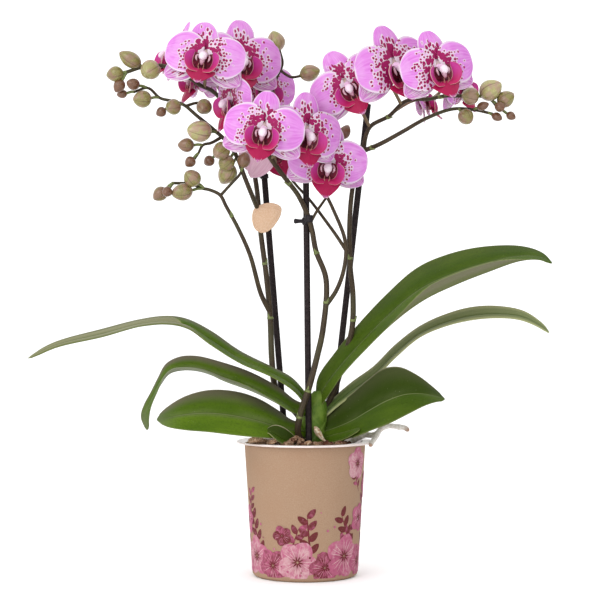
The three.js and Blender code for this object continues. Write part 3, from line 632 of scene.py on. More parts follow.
def kraft_look():
    look = Look("kraft", Specular_IOR_Level=0.2)
    here = look.here()
    pulp = look.noise(here, 1.8, 5.0)
    fibres = look.noise(here, 3.0, 3.0, 1.5)
    look.paint(
        "C5A488",
        (pulp.band(0.3, 0.7), "B9977B"),
        (look.noise(here, 0.05).band(0.4, 0.7) * 0.35, "BD977A"),
        (fibres.band(0.62, 0.75) * 0.4, "92704F"),
    )
    look.rough(pulp * 0.2 + 0.75)
    look.bump(fibres, 0.14)
    return look


def ink_look():
    """Printed ink in washes from pale pink, tone 0, to maroon, tone 1."""
    look = Look("ink", Roughness=0.7, Specular_IOR_Level=0.2)
    u, _, tone = look.parts("unit")
    here = look.here()
    depth = tone + (look.noise(here, 0.35, 4.0, 0.6) - 0.5) * 0.9
    look.paint(
        "EDC0C4",
        (depth.band(0.0, 0.5), "D06E92"),
        (depth.band(0.45, 1.0), "762E32"),
        (u.band(0.4, 0.0) * 0.4, "8E2444"),
        (look.noise(here, 1.6, 4.0).band(0.55, 0.8) * 0.5, "C39A70"),
    )
    return look


def pot_look():
    look = Look("pot_plastic", Specular_IOR_Level=0.5, Coat_Weight=0.15)
    here = look.here()
    haze = look.noise(here, 0.08, 3.0)
    look.paint(look.mix(haze.band(0.35, 0.7), colour("F7EAE6", POT_PAINTED), colour("E8D8D2", POT_PAINTED)))
    look.rough(haze * 0.25 + 0.25)
    look.bump(look.noise(here, 2.5), 0.08, 0.0001)
    return look


def bark_look():
    """Chips: tone 0 is a dark red-brown one, and tone 1 a pale one."""
    look = Look("bark", Specular_IOR_Level=0.25)
    _, _, tone = look.parts("unit")
    grain = look.noise(look.here(), 0.8, 5.0, 1.0)
    streaks = grain.band(0.35, 0.65)
    look.paint(look.mix(tone, look.mix(streaks, "3E241A", "7E4630"), look.mix(streaks, "B08058", "E8CDAE")))
    look.rough(grain * 0.2 + 0.75)
    look.bump(grain, 0.6, 0.0008)
    return look


def root_look():
    look = Look("root", Roughness=0.75, Specular_IOR_Level=0.25)
    x, y, _ = look.parts("flat")
    along, _, _ = look.parts("unit")
    chalk = look.noise(look.here(), 0.6, 4.0)
    # The root's pale colours carry painted light that lifts the shade under the leaves
    look.paint(
        colour("F2EEEA", SHADE_LIFTED_PAINTED),
        (chalk.band(0.35, 0.65), colour("DCD6CC", SHADE_LIFTED_PAINTED)),
        (look.noise(look.place(x * 0.5, y)).band(0.5, 0.75) * 0.35, colour("C8B4AC", SHADE_LIFTED_PAINTED)),
        (along.band(0.9, 0.99) * 0.8, "B07A50"),
    )
    look.bump(chalk, 0.35, 0.0003)
    return look


PETAL_LOOKS = {kind: tepal_look(kind) for kind in TEPAL_SPOTS}
LOBE_LOOK = lobe_look()
MID_LOOK = mid_look()
THROAT_LOOK = plain_look("lip_throat", "96183F", "561024", 0.6, 0.5)
CALLUS_LOOK = plain_look("lip_callus", "D89E8C", "A4584E", 0.9, 0.45)
EAR_LOOK = plain_look("lip_ear", "F6D2DC", "D89CB0", 0.7, 0.4)
COLUMN_LOOK = column_look()
HUB_LOOK = plain_look("bloom_back", "DDB4CF", "B9A27E", 0.3, 0.5)
LEAF_LOOKS = {name: leaf_look(name) for name in LEAF_TONES}
CROWN_LOOK = crown_look()
STEM_LOOK = stem_look()
BRACT_LOOK = plain_look("bract", "8E9A54", "66733A", 0.5, 0.55)
BUD_LOOK = bud_look()
STAKE_LOOK = plain_look("stake", "3B3132", "211A1B", 0.7, 0.5, 0.12, Specular_IOR_Level=0.1)
CLIP_LOOK = plain_look("clip", "3A3438", "211D22", 0.9, 0.45, 0.1, Specular_IOR_Level=0.15)
TAG_LOOK = plain_look("tag", "FCD9B9", "F0C6A2", 1.2, 0.8, 0.2, 0.0001, Specular_IOR_Level=0.2)
KRAFT_LOOK = kraft_look()
INK_LOOK = ink_look()
POT_LOOK = pot_look()
BARK_LOOK = bark_look()
ROOT_LOOK = root_look()
DRY_ROOT_LOOK = plain_look("dry_root", "EEE2C6", "B98A60", 0.7, 0.8, 0.6, 0.0005)


# Blooms: the centre in the view, its depth, and how it faces
# turn: to the viewer's right. tilt: upwards. roll: clockwise as seen. nod: its upper sepal, the other way
BLOOMS = {
    "a": ((205, 55, -38), -3, 14, 9, 14, 1.02),
    "b": ((241, 58, 12), 18, 4, 3, 0, 1.12),
    "c": ((174, 53, 22), -70, 16, 2, 0, 0.98),
    "d": ((196, 74, 41), -62, 0, 6, 0, 0.92),
    "e": ((264, 128, -54), -2, 0, 9, 3, 1.0),
    "f": ((232, 98, -19), -62, -6, 10, 0, 0.95),
    "g": ((272, 148, 14), 180, -10, 28, 0, 0.9),
    "h": ((264, 86, 44), 28, 0, 4, 0, 0.98),
    "i": ((306, 131, -34), 28, -4, 6, 0, 1.05),
    "j": ((328, 161, -10), 2, -14, 5, 0, 1.02),
    "k": ((347, 84, -20), -4, -6, -30, 0, 1.0),
    "l": ((394, 65, -32), 30, 4, -15, 0, 1.12),
    "m": ((438, 66, -44), 20, 4, -14, 0, 1.0),
    "n": ((462, 84, 24), 62, -6, -20, 0, 0.85),
    "o": ((423, 98, 28), 80, 16, 6, 0, 0.8),
}


def bloom_frame(letter, unit=1.0):
    """Where a bloom is and how it faces, with the length of a millimetre."""
    at, turn, tilt, roll, _, size = BLOOMS[letter]
    facing = (Matrix.Rotation(math.radians(turn), 4, "Z") @ Matrix.Rotation(-math.radians(tilt), 4, "X")
              @ Matrix.Rotation(math.radians(roll), 4, "Y"))
    return Matrix.Translation([value * unit for value in spot(*at)]) @ facing @ Matrix.Scale(size, 4)


# Tepals: length, half width, fullness at the base and the tip, lift, backward bend, rolled margins, how far
# forward of the bloom's plane they start, and the waves of the margin
TEPALS = {
    "petal": (27.4, 14.8, 0.44, 0.47, 2.2, 3.2, 2.4, 0.6, 0.9),
    "upper_sepal": (25.6, 9.5, 0.6, 0.54, 1.2, 2.4, 1.6, -2.2, 0.4),
    "lower_sepal": (30.2, 9.8, 0.74, 0.72, 0.6, 4.2, 1.8, -2.4, 0.4),
}
TEPAL_THICK = 0.8
TEPAL_GRID = (26, 19)
TEPAL_START = 0.05
PETAL_LEAN = -0.6
PETAL_ANGLES = (3, 177)
LOWER_ANGLES = (-30, 210)


def tepal(skin, kind, slot, angle, chance, seed):
    """A tepal out from the bloom's middle, at an angle in degrees up from the viewer's right."""
    long, half, base, tip, lift, reflex, roll, rise, waves = TEPALS[kind]
    u, v = crossed(*TEPAL_GRID, TEPAL_START)
    arch = np.sin(np.pi * u)
    widest = (base / (base + tip)) ** base * (tip / (base + tip)) ** tip
    wide = half * u ** base * (1 - u) ** tip / widest
    wide = wide * (1 + 0.04 * v * v * np.sin(6 * u + chance.uniform(0, 6.28) + 1.5 * np.sign(v)))
    bend = rise + lift * arch - reflex * u * u
    curl = roll * v * v * arch
    phase = [chance.uniform(0, TURN) for _ in range(3)]
    ruffle = np.sin(7 * u + phase[0]) * v + np.sin(5 * u + phase[1]) * v * v + 0.5 * np.cos(9 * u + phase[2])
    crease = -0.5 * np.exp(-(v / 0.12) ** 2) * arch
    heading = math.radians(angle + chance.uniform(-1.5, 1.5))
    out = np.array([math.cos(heading), 0, math.sin(heading)])
    side = np.array([-math.sin(heading), 0, math.cos(heading)])
    lean = PETAL_LEAN * np.sqrt(u) * np.sign(side[2]) if kind == "petal" else 0
    middle = out * (long * u)[..., None] + side * (wide * v + lean)[..., None]
    middle[..., 1] -= bend - curl + waves * 0.5 * ruffle * arch ** 0.7 + crease
    thick = TEPAL_THICK * (0.45 + 0.55 * dome(v) * (1 - 0.6 * u))
    upward = -1.0 if kind == "petal" and side[2] < 0 else 1.0
    skin.sheet(middle, thick, u, v, slot, long * u, wide * v * upward, seed)


# Rings of the column, of the pad under its tip, and of the hub behind the tepals: how far back and up each
# ring lies, and its radius
COLUMN_RINGS = [
    (2.0, -0.4, 2.6), (-0.8, -0.8, 2.5), (-3.2, -1.5, 2.4), (-5.0, -2.2, 2.4), (-5.7, -2.5, 2.35),
    (-6.1, -2.8, 2.75), (-7.2, -3.4, 2.95), (-8.2, -4.4, 2.75), (-9.0, -5.5, 2.15), (-9.4, -6.2, 1.3),
    (-9.5, -6.6, 0.4),
]
STIGMA_RINGS = [
    (-5.2, -3.8, 1.5), (-6.2, -5.6, 1.9), (-6.6, -7.2, 1.6), (-6.4, -8.6, 1.2), (-6.0, -9.6, 0.5),
]
HUB_RINGS = [(3.0, 0, 1.4), (2.8, 0, 3.4), (2.0, 0, 4.3), (0.6, 0, 4.2), (-0.8, 0, 3.4), (-1.8, 0, 1.6)]


def bloom(letter):
    chance = random.Random(letter)
    seed = 3.0 * (ord(letter) - ord("a")) + 1.0
    nod = BLOOMS[letter][4]
    skin = Skin()
    tepal(skin, "upper_sepal", 1, 90 + nod, chance, seed)
    for angle in LOWER_ANGLES:
        tepal(skin, "lower_sepal", 2, angle, chance, seed + angle)
    for angle in PETAL_ANGLES:
        tepal(skin, "petal", 0, angle, chance, seed + angle)
    for rings, sides, slot, under in (
            (COLUMN_RINGS, 20, 3, 0.0), (STIGMA_RINGS, 20, 3, 1.0), (HUB_RINGS, 16, 4, 0.0)):
        back, up, radii = np.array(rings, float).T
        tube(skin, stacked(0, back, up), radii, sides, slot, under)
    looks = [*PETAL_LOOKS.values(), COLUMN_LOOK, HUB_LOOK]
    skin.piece(f"petals_{letter}", looks, "petal", [f"bloom_{letter}"], bloom_frame(letter, MM))


# Lip: two upright side lobes round a dark throat, and a pointed middle lobe
LOBE_OUTER = [
    [0.6, -6.2, -14.6], [7.2, -8.2, -14.4], [11.2, -9.6, -9.6], [11.4, -9.4, -3.6], [7.4, -7.6, 1.2],
]
LOBE_INNER = [
    [0.4, -5.2, -11.8], [4.2, -4.4, -11.4], [6.4, -4.6, -8.2], [6.6, -4.8, -3.8], [5.4, -5.6, -0.2],
]
MID_PATH = [[0, -2.4, -4.15], [0, -3.6, -9.2], [0, -5.6, -13.4], [0, -8.6, -18.4], [0, -11.0, -23.6]]
CLAW_HALF = 1.6
MID_HALF = 10
MID_OPENS = 0.3
MID_SHOULDER = 0.52
LOBE_THICK = 0.8
SIDE_GRID = (26, 15)
SIDE_BULGE_OUT = 0.8
SIDE_BULGE_FORWARD = 1.3
MID_GRID = (30, 17)
THROAT_GRID = (18, 13)
THROAT_DEEP = 3.0
THROAT_THICK = 0.5

# Thin horns, each with one like it on the left: the tendril at the lip's tip, the arm of the forked callus
# and the pale ear in the throat
TENDRIL = [[0.4, -10.9, -23.0], [1.3, -11.6, -23.3], [2.1, -11.5, -22.4], [2.3, -11.0, -21.4]]
CALLUS_ARM = [[1.0, -4.4, -13.0], [1.5, -6.8, -12.2], [1.9, -7.6, -10.6], [1.5, -7.9, -8.8]]
EAR = [[3.2, -3.8, -1.6], [4.3, -5.4, -3.2], [4.4, -6.0, -5.0], [3.7, -5.4, -6.8]]

# How far apart a horn's rings are, its first and last radius, how much it swells between them, its sides and
# its material
HORNS = [
    (TENDRIL, 0.5, 0.4, 0.14, 0.0, 6, 4),
    (CALLUS_ARM, 0.6, 0.45, 0.15, 0.0, 8, 3),
    (EAR, 0.6, 0.3, 0.3, 0.5, 8, 4),
]


def side_lobe(skin, hand, seed):
    """An upright lobe between its outer and inner margins. hand is 1 on the right and -1 on the left."""
    u, v = crossed(*SIDE_GRID, even=True)
    outer, inner = (curve_at(np.array(places) * [hand, 1, 1], u[:, 0])[:, None]
                    for places in (LOBE_OUTER, LOBE_INNER))
    share = ((1 + v) / 2)[..., None]
    middle = outer * share + inner * (1 - share)
    bulge = (1 - v * v) * np.sin(np.pi * u)
    middle[..., 0] += hand * SIDE_BULGE_OUT * bulge
    middle[..., 1] -= SIDE_BULGE_FORWARD * bulge
    round_end = np.clip((1 - u) / 0.14, 0, 1) ** 0.5
    centre = middle.mean(axis=1, keepdims=True)
    middle = centre + (middle - centre) * np.maximum(round_end, 0.05)[..., None]
    skin.sheet(middle, LOBE_THICK * (0.5 + 0.5 * dome(v)), u, v, tone=seed + hand)


def mid_lobe(skin, seed):
    u, v = crossed(*MID_GRID)
    opened = eased((u - MID_OPENS) / (MID_SHOULDER - MID_OPENS))
    past = np.clip((u - MID_SHOULDER) / (1 - MID_SHOULDER), 0, 1)
    wide = (CLAW_HALF + (MID_HALF - CLAW_HALF) * opened) * (1 - 0.9 * past ** 1.5)
    middle = curve_at(MID_PATH, u[:, 0])[:, None] * np.ones((1, MID_GRID[1], 1))
    middle[..., 0] += wide * v
    middle[..., 1] += 1.8 * v * v * opened * (1 - past) - 0.7 * np.exp(-(v / 0.15) ** 2) * np.sin(np.pi * u)
    skin.sheet(middle, LOBE_THICK * (0.55 + 0.45 * dome(v)), u, v, 1, tone=seed)


def throat(skin):
    """The dark bowl between the side lobes."""
    u, v = crossed(*THROAT_GRID, even=True)
    u = 0.96 * u
    right = curve_at(LOBE_INNER, u[:, 0])[:, None]
    share = ((1 + v) / 2)[..., None]
    middle = right * share + right * [-1, 1, 1] * (1 - share)
    middle[..., 1] += THROAT_DEEP * (1 - v * v)
    skin.sheet(middle, THROAT_THICK, u, v, 2)


def lip(letter):
    seed = 2.0 * (ord(letter) - ord("a")) + 0.5
    skin = Skin()
    mid_lobe(skin, seed)
    throat(skin)
    for hand in (-1, 1):
        side_lobe(skin, hand, seed)
        for places, step, first, last, swelling, sides, slot in HORNS:
            path = even_curve(np.array(places) * [hand, 1, 1], step)
            share = np.linspace(0, 1, len(path))
            tube(skin, path, first + (last - first) * share + swelling * np.sin(np.pi * share), sides, slot)
    looks = [LOBE_LOOK, MID_LOOK, THROAT_LOOK, CALLUS_LOOK, EAR_LOOK]
    skin.piece(f"labellum_{letter}", looks, "lip", [f"lip_{letter}"], bloom_frame(letter, MM))


# Leaves: each runs from the crown to its tip between a far and a near margin, and sags at its midrib
LEAVES = {
    "upper_left": (
        [(310, 398, 2), (292, 378, 4), (274, 368, 4), (240, 351, 6), (211, 331, 12), (187, 319, 18),
         (168, 316, 21), (142, 319, 24), (102, 329, 28), (55, 342, 30), (28, 356, 30)],
        [(308, 410, -4), (296, 393, -8), (274, 378, -12), (240, 363, -12), (211, 345, -8), (187, 328, -4),
         (168, 324, 0), (142, 326, 4), (102, 337, 12), (55, 348, 23), (27, 361, 29)], 1.0),
    "mid_left": (
        [(308, 405, -2), (295, 400, -2), (278, 387, -3), (250, 372, -4), (221, 362, -5), (196, 356, -6),
         (179, 357, -7), (166, 364, -8), (158, 378, -9), (151, 392, -10), (144, 405, -12), (141, 415, -13),
         (143, 427, -14)],
        [(306, 416, -6), (294, 413, -14), (275, 402, -22), (252, 391, -25), (225, 381, -26),
         (204, 371, -26), (187, 368, -25), (173, 369, -24), (164, 377, -22), (157, 392, -21),
         (151, 407, -20), (149, 420, -18), (150, 433, -17)], 3.0),
    "low_left": (
        [(309, 424, -2), (292, 420, -4), (276, 409, -8), (259, 399, -12), (238, 392, -16), (211, 390, -20),
         (186, 396, -28), (166, 408, -36), (156, 418, -42)],
        [(306, 437, -6), (290, 438, -16), (272, 438, -30), (254, 437, -40), (234, 435, -46),
         (209, 432, -50), (185, 430, -52), (168, 427, -50), (157, 422, -45)], 0.6),
    "curled_left": (
        [(307, 441, -6), (298, 439, -14), (290, 432, -20), (283, 427, -23), (275, 425, -25),
         (268, 428, -27), (263, 434, -28)],
        [(305, 444, -9), (297, 445, -20), (289, 445, -27), (281, 443, -31), (274, 438, -33),
         (268, 433, -31), (263, 435, -29)], 2.0),
    "upper_right": (
        [(316, 402, 4), (318, 378, 5), (334, 354, 6), (357, 326, 8), (386, 295, 12), (417, 268, 16),
         (446, 255, 18), (481, 247, 18), (520, 246, 16), (541, 252, 14), (553, 262, 12)],
        [(318, 410, -3), (328, 396, -6), (343, 374, -10), (366, 349, -14), (394, 322, -18), (424, 300, -20),
         (455, 285, -18), (488, 272, -12), (520, 261, -4), (540, 260, 4), (552, 265, 10)], 2.6),
    "mid_right": (
        [(320, 414, 6), (335, 397, 12), (352, 382, 16), (374, 366, 22), (395, 345, 28), (420, 326, 34),
         (446, 314, 38), (472, 307, 40), (498, 306, 40), (524, 311, 38), (542, 323, 36), (550, 332, 34)],
        [(322, 420, 0), (338, 406, 0), (354, 394, 4), (376, 377, 10), (397, 356, 16), (420, 337, 22),
         (446, 326, 26), (472, 320, 28), (498, 318, 30), (520, 320, 30), (538, 327, 30), (549, 334, 31)],
         1.4),
    "low_right": (
        [(322, 422, 3), (336, 407, 4), (352, 394, 2), (368, 380, -2), (383, 369, -6), (399, 367, -12),
         (417, 375, -20), (433, 387, -28), (444, 397, -34)],
        [(322, 438, -4), (338, 440, -12), (354, 437, -24), (372, 430, -34), (390, 423, -42),
         (408, 414, -46), (424, 406, -46), (436, 402, -42), (446, 401, -37)], 2.4),
    "folded_right": (
        [(321, 439, -3), (333, 435, -10), (345, 432, -16), (361, 427, -24)],
        [(321, 444, -5), (333, 442, -18), (344, 439, -24), (359, 431, -29)], 1.2),
}
LEAF_FOLD = 1.6
LEAF_GRID = (90, 25)

# Where a leaf shows its pale underside on its near side: where along it that starts, where it is full,
# where it ends, and what share of the leaf's width it takes
LEAF_TURNED = {
    "upper_left": (0.4, 0.64, 2.0, 1.0),
    "mid_left": (0.12, 0.32, 0.72, 0.36),
    "upper_right": (0.34, 0.58, 0.86, 0.44),
    "mid_right": (-0.2, -0.1, 2.0, 1.0),
}


def turned_over(name, u, across):
    """1 where a leaf's underside is up, for shares along it and places from its near to its far margin."""
    if name not in LEAF_TURNED:
        return 0.0
    starts, full, ends, share = LEAF_TURNED[name]
    along = eased(np.clip((u - starts) / (full - starts), 0, 1) * np.clip((ends - u) / 0.15, 0, 1))
    edge = -1.1 + 2.2 * share * along
    return np.clip((edge - across) / 0.1 + 0.5, 0, 1)


def leaf(name, far, near, sag):
    """A leaf from its two margins, with the left leaves' margins swapped so that the upper face stays up."""
    u, v = crossed(*LEAF_GRID, even=True)
    toward = 1
    if far[-1][0] < far[0][0]:
        far, near = near, far
        toward = -1
    far_edge, near_edge = (curve_at(spots(places), u[:, 0]) for places in (far, near))
    centre = (far_edge + near_edge) / 2
    span = far_edge - near_edge
    width = np.linalg.norm(span, axis=1)[:, None]
    rounded = np.clip((1 - u) / 0.05, 0, 1) ** 0.5
    middle = centre[:, None] + span[:, None] * (v * rounded / 2)[..., None]
    hang = np.sin(np.pi * np.minimum(1, 0.15 + 0.85 * u))
    fold = LEAF_FOLD * np.exp(-((v / 0.2) ** 2)) + 0.5 * np.exp(-((v / 0.05) ** 2))
    middle[..., 2] -= (sag * (1 - v * v) + fold) * hang
    thick = LEAF_THICK * (0.35 + 0.65 * dome(v)) * (1 - 0.45 * u)
    tone = float(list(LEAVES).index(name)) * 5
    front = 1 - turned_over(name, u, v * toward)
    skin = Skin()
    skin.sheet(middle, thick, u, v, 0, run_along(centre)[:, None], width * v / 2 * toward, tone, front)
    skin.piece(f"blade_{name}", [LEAF_LOOKS[name]], "leaf", [f"leaf_{name}"])


# Crown: the short stem as places in the view with its half width and half depth, and the leaf sheaths round
# it, each with the height of its rim in mm, how much the rim rises to one side, and that side as degrees
# round from the right
CROWN = [
    (312, 456, 7.5, 7), (312, 440, 8.2, 7.5), (313, 425, 9, 7.5), (315, 410, 9, 6.5), (316, 398, 6.5, 4.5),
    (317, 391, 2.5, 2),
]
SHEATHS = [(100, 11, 25), (107, 9, 205), (120, 8, 350)]
SHEATH_THICK = 0.055
CROWN_RINGS = 110
CROWN_SIDES = 72


def crown():
    shares = np.linspace(0, 1, CROWN_RINGS)
    path = curve_at([spot(across, down, 0) for across, down, _, _ in CROWN], shares)
    sizes = curve_at([(wide, deep, 0) for _, _, wide, deep in CROWN], shares)
    angle = np.arange(CROWN_SIDES) * TURN / CROWN_SIDES
    rims = np.zeros((CROWN_RINGS, CROWN_SIDES))
    layers = rims + 1 - 0.6 * SHEATH_THICK * len(SHEATHS)
    for height, rise, side in SHEATHS:
        below = height + rise * np.cos(angle - math.radians(side)) - path[:, 2:3]
        layers += SHEATH_THICK * np.clip(below / 0.8, 0, 1)
        rims = np.maximum(rims, np.exp(-((below - 0.8) / 1.0) ** 2))
    x = path[:, :1] + sizes[:, :1] * np.cos(angle) * layers
    y = path[:, 1:2] + sizes[:, 1:2] * np.sin(angle) * layers
    skin = Skin()
    skin.grid(stacked(x, y, path[:, 2:3]), 0, stacked(shares[:, None], 0, rims))
    skin.piece("sheaths", [CROWN_LOOK], "leaf", ["crown"])


# Spikes: first each one's stems, as places with a first and a last radius
STEM_RADIUS = 2.3
STEMS = {
    "left": [
        ([(309, 436, 5), (297, 414, 8), (281, 398, 7), (275, 386, 8), (272, 362, 9), (270, 314, 10),
          (266, 273, 11), (261, 235, 13), (256, 183, 16), (249, 152, 19), (240, 130, 21), (230, 112, 18),
          (215, 93, 9), (200, 85, -5), (188, 77, -10), (164, 66, -12), (143, 67, -12), (127, 72, -12)],
          STEM_RADIUS, 1.3),
        ([(270, 312, 10), (261, 294, 3), (250, 255, -6), (238, 228, -8), (226, 206, -9), (220, 195, -9),
          (210, 190, -9), (201, 188, -9), (192, 184, -9), (172, 183, -9)], 1.8, 1.0),
        ([(258, 212, 14), (254, 200, 3), (245, 178, -8), (237, 157, -8), (227, 142, -8), (213, 129, -8),
          (196, 115, -8), (184, 105, -8), (172, 101, -8), (160, 98, -8), (148, 88, -8), (134, 92, -8)], 1.8,
          0.9),
        ([(221, 195, -9), (231, 184, -10), (240, 174, -10), (244, 164, -10)], 1.1, 0.9),
        ([(221, 138, -8), (211, 143, -10), (203, 145, -10), (198, 154, -10), (194, 160, -10)], 1.2, 0.8),
        ([(186, 106, -8), (196, 103, -5), (206, 103, -2)], 1.1, 0.9),
        ([(231, 112, 18), (233, 92, 24), (235, 80, 26)], 1.5, 1.1),
    ],
    "middle": [
        ([(303, 442, -7), (298, 433, -13), (300, 415, -16), (308, 391, -16), (317, 357, -13),
          (323, 329, -10), (326, 279, -7), (316, 251, -4), (312, 230, -3), (308, 216, -2), (298, 195, 1),
          (289, 183, 3), (279, 170, 3), (268, 154, -4), (260, 132, -10), (262, 112, -2), (270, 95, 28),
          (277, 76, 35), (282, 64, 34), (279, 50, 28)], STEM_RADIUS, 1.3),
        ([(325, 306, -9), (336, 291, -9), (343, 273, -10), (346, 252, -9), (344, 236, -6), (333, 209, -2),
          (326, 194, 3), (321, 180, 10)], 1.6, 1.1),
        ([(345, 250, -9), (338, 238, -4), (328, 224, 2), (309, 199, 11), (297, 186, 12), (289, 176, 12)],
          1.3, 0.9),
        ([(310, 223, -3), (317, 211, -2), (326, 198, 1)], 1.1, 0.9),
        ([(280, 70, 34), (291, 77, 28), (301, 76, 22)], 1.1, 0.9),
    ],
    "right": [
        ([(319, 432, 4), (326, 408, 9), (335, 388, 8), (345, 355, 5), (352, 329, 3), (353, 296, 2),
          (350, 263, 2), (350, 213, 5), (354, 180, 8), (363, 148, 7), (370, 127, 4), (389, 116, 2),
          (406, 101, 2), (430, 99, 0), (444, 96, -4), (458, 96, -7), (478, 96, -10), (490, 99, -11),
          (498, 108, -11)], STEM_RADIUS, 1.1),
        ([(363, 152, 7), (380, 144, -3), (402, 132, -9), (427, 118, -11), (453, 109, -11), (475, 110, -11),
          (493, 114, -11)], 1.7, 1.0),
    ],
}

# Bracts: the foot on a stem, and the tip
BRACTS = {
    "left": [
        ((266, 263, 11), (270, 252, 8)), ((270, 318, 10), (267, 304, 7)), ((258, 213, 14), (253, 204, 11)),
        ((231, 216, -8), (229, 209, -10)),
    ],
    "middle": [
        ((300, 417, -16), (298, 408, -19)), ((325, 302, -9), (331, 293, -12)),
        ((316, 253, -4), (312, 243, -7)), ((289, 184, 3), (283, 192, 0)),
        ((309, 391, -16), (310, 382, -18)),
    ],
    "right": [
        ((353, 320, 3), (357, 308, 1)), ((350, 258, 2), (347, 247, 0)), ((440, 98, -3), (436, 105, -5)),
        ((388, 117, 2), (394, 124, 0)), ((371, 149, 0), (372, 157, -2)),
    ],
}

# Buds: the middle, the length, the width, and where on a stem the bud grows
BUDS = {
    "left": [
        ((130, 59, -14), 15.5, 10, (143, 67, -12)), ((150, 70, -22), 14, 12.5, (156, 64, -12)),
        ((115, 74, -12), 11, 10, (127, 71, -12)), ((119, 86, -12), 9, 7.5, (126, 74, -12)),
        ((133, 84, -14), 9, 7.5, (147, 84, -9)), ((122, 94, -6), 7, 5.5, (135, 92, -8)),
        ((142, 99, -16), 12.5, 11, (158, 99, -8)), ((173, 107, -18), 10.5, 10, (183, 104, -8)),
        ((161, 112, -10), 7, 6.5, (176, 104, -8)), ((204, 107, -10), 10.5, 10, (206, 98, -2)),
        ((199, 131, -18), 17.5, 13.5, (218, 132, -8)), ((186, 145, -12), 10.5, 9, (202, 144, -10)),
        ((190, 162, -12), 7.5, 7, (198, 153, -10)), ((209, 161, -2), 7.5, 7, (221, 150, -4)),
        ((221, 151, -18), 14, 11, (228, 143, -8)), ((226, 163, -12), 11, 10.5, (234, 153, -8)),
        ((227, 174, -4), 14.5, 12, (235, 158, -6)), ((192, 178, -16), 12, 11, (204, 189, -9)),
        ((182, 192, -14), 14, 11, (202, 191, -9)), ((167, 192, -18), 7.5, 6.5, (173, 185, -10)),
        ((160, 194, -9), 10.5, 9, (173, 184, -9)), ((244, 160, -12), 10, 8.5, (242, 172, -10)),
    ],
    "middle": [
        ((276, 41, 28), 13.5, 12, (280, 54, 28)), ((310, 73, 22), 13.5, 11, (298, 76, 22)),
        ((345, 132, 12), 10, 7.5, (321, 180, 10)),
    ],
    "right": [
        ((470, 96, -18), 12, 11, (484, 96, -10)), ((491, 90, -13), 15.5, 13.5, (481, 102, -10)),
        ((506, 99, -12), 12, 10.5, (496, 106, -11)), ((500, 107, -18), 7.5, 6.5, (496, 98, -11)),
        ((511, 116, -12), 6.5, 5.5, (500, 109, -11)), ((497, 117, -14), 7.5, 5.5, (488, 113, -11)),
        ((483, 106, -15), 8.5, 5.5, (473, 110, -11)), ((466, 117, -16), 11, 10, (458, 108, -11)),
    ],
}
BUD_FULL = 1.1
BUD_SIDES = 30

# Where each bloom's stalk leaves its stem, and the places it passes before it meets the bloom's back
STALKS = {
    "left": {
        "a": [(205, 88, -2)], "b": [(235, 80, 26)], "c": [(235, 82, 26), (222, 62, 27), (206, 52, 30)],
        "d": [(232, 117, 19)], "f": [(241, 131, 21)],
    },
    "middle": {
        "e": [(260, 134, -10)], "g": [(276, 166, 2)],
        "h": [(261, 116, -4), (242, 122, 22), (244, 116, 46), (252, 98, 56)], "i": [(271, 158, -1)],
        "j": [(322, 183, 8)],
    },
    "right": {
        "k": [(370, 128, 3)], "l": [(402, 105, 2)], "m": [(446, 97, -4)],
        "n": [(432, 99, 0), (438, 94, 20)], "o": [(392, 115, 2), (398, 109, 16)],
    },
}
HUB_BACK = 3.0
STALK_STRAIGHT = 8
STALK_GAP = 0.35

# How far apart the rings of a stem and of a stalk are, and the places where other things meet a stem
STEM_STEP = 1.6
STALK_STEP = 1.2
MEETING_STEP = 0.5


def stem_near(stems, point):
    """The place on the stems nearest to a point, the direction of the stem there, and its radius."""
    line = np.vstack(stems)
    nearest = line[np.argmin(np.linalg.norm(line[:, :3] - point, axis=1))]
    return nearest[:3], unit_vector(nearest[3:6]), nearest[6]


def stem_skin(skin, route, first, last, sides):
    """A stem's tube. Gives the places along it, with the direction and the radius at each."""
    path = even_curve(route, STEM_STEP)
    tube(skin, path, np.linspace(first, last, len(path)), sides)
    fine = even_curve(route, MEETING_STEP)
    return np.column_stack([fine, np.gradient(fine, axis=0), np.linspace(first, last, len(fine))])


def bract(skin, foot, ahead, radius, tip):
    """A green band round a stem, drawn out to a small pointed scale on one side."""
    band = foot + ahead * np.array([-1.2, -1.0, -0.3, 0.5, 0.7])[:, None]
    tube(skin, band, radius + np.array([-0.1, 0.2, 0.27, 0.2, -0.1]), 16, 2)
    side = tip - foot
    side = unit_vector(side - ahead * np.dot(side, ahead))
    scale = even_curve([foot + side * radius * 0.5, foot + ahead * 1.7 + side * (radius + 0.1),
                        foot + ahead * 3.4 + side * (radius + 0.8)], 0.4)
    tube(skin, scale, 1.3 * (1 - 0.9 * np.linspace(0, 1, len(scale))), 10, 2)


def seams(angle, share):
    """The three folds between a bud's sepals."""
    folded = np.abs((angle * 3 / TURN) % 1 - 0.5) * 2
    return 1 + 0.04 * np.cos(3 * angle) * share - 0.03 * np.exp(-((folded / 0.1) ** 2))


def bud(skin, centre, long, wide, start):
    """A bud on a thin stalk. Small ones are brown and full ones yellow-green."""
    axis = unit_vector(centre - start)
    base = centre - axis * long / 2
    path = even_curve([start, start * 0.45 + base * 0.55 + [0, 0, 0.4], base, base + axis * 0.8], 0.8)
    tube(skin, path, np.full(len(path), TWIG_RADIUS), 8, 2)
    share = np.sin(np.linspace(0, 1, 22) * math.pi / 2) ** 2
    radii = wide / 2 * np.sin(np.pi * np.clip(share, 0.004, 0.996) ** 0.86) ** 0.6
    tone = min(1.0, max(0.0, (wide - 8) / 7.5))
    tube(skin, base + axis * (share * long)[:, None], radii, BUD_SIDES, 1, tone, seams)


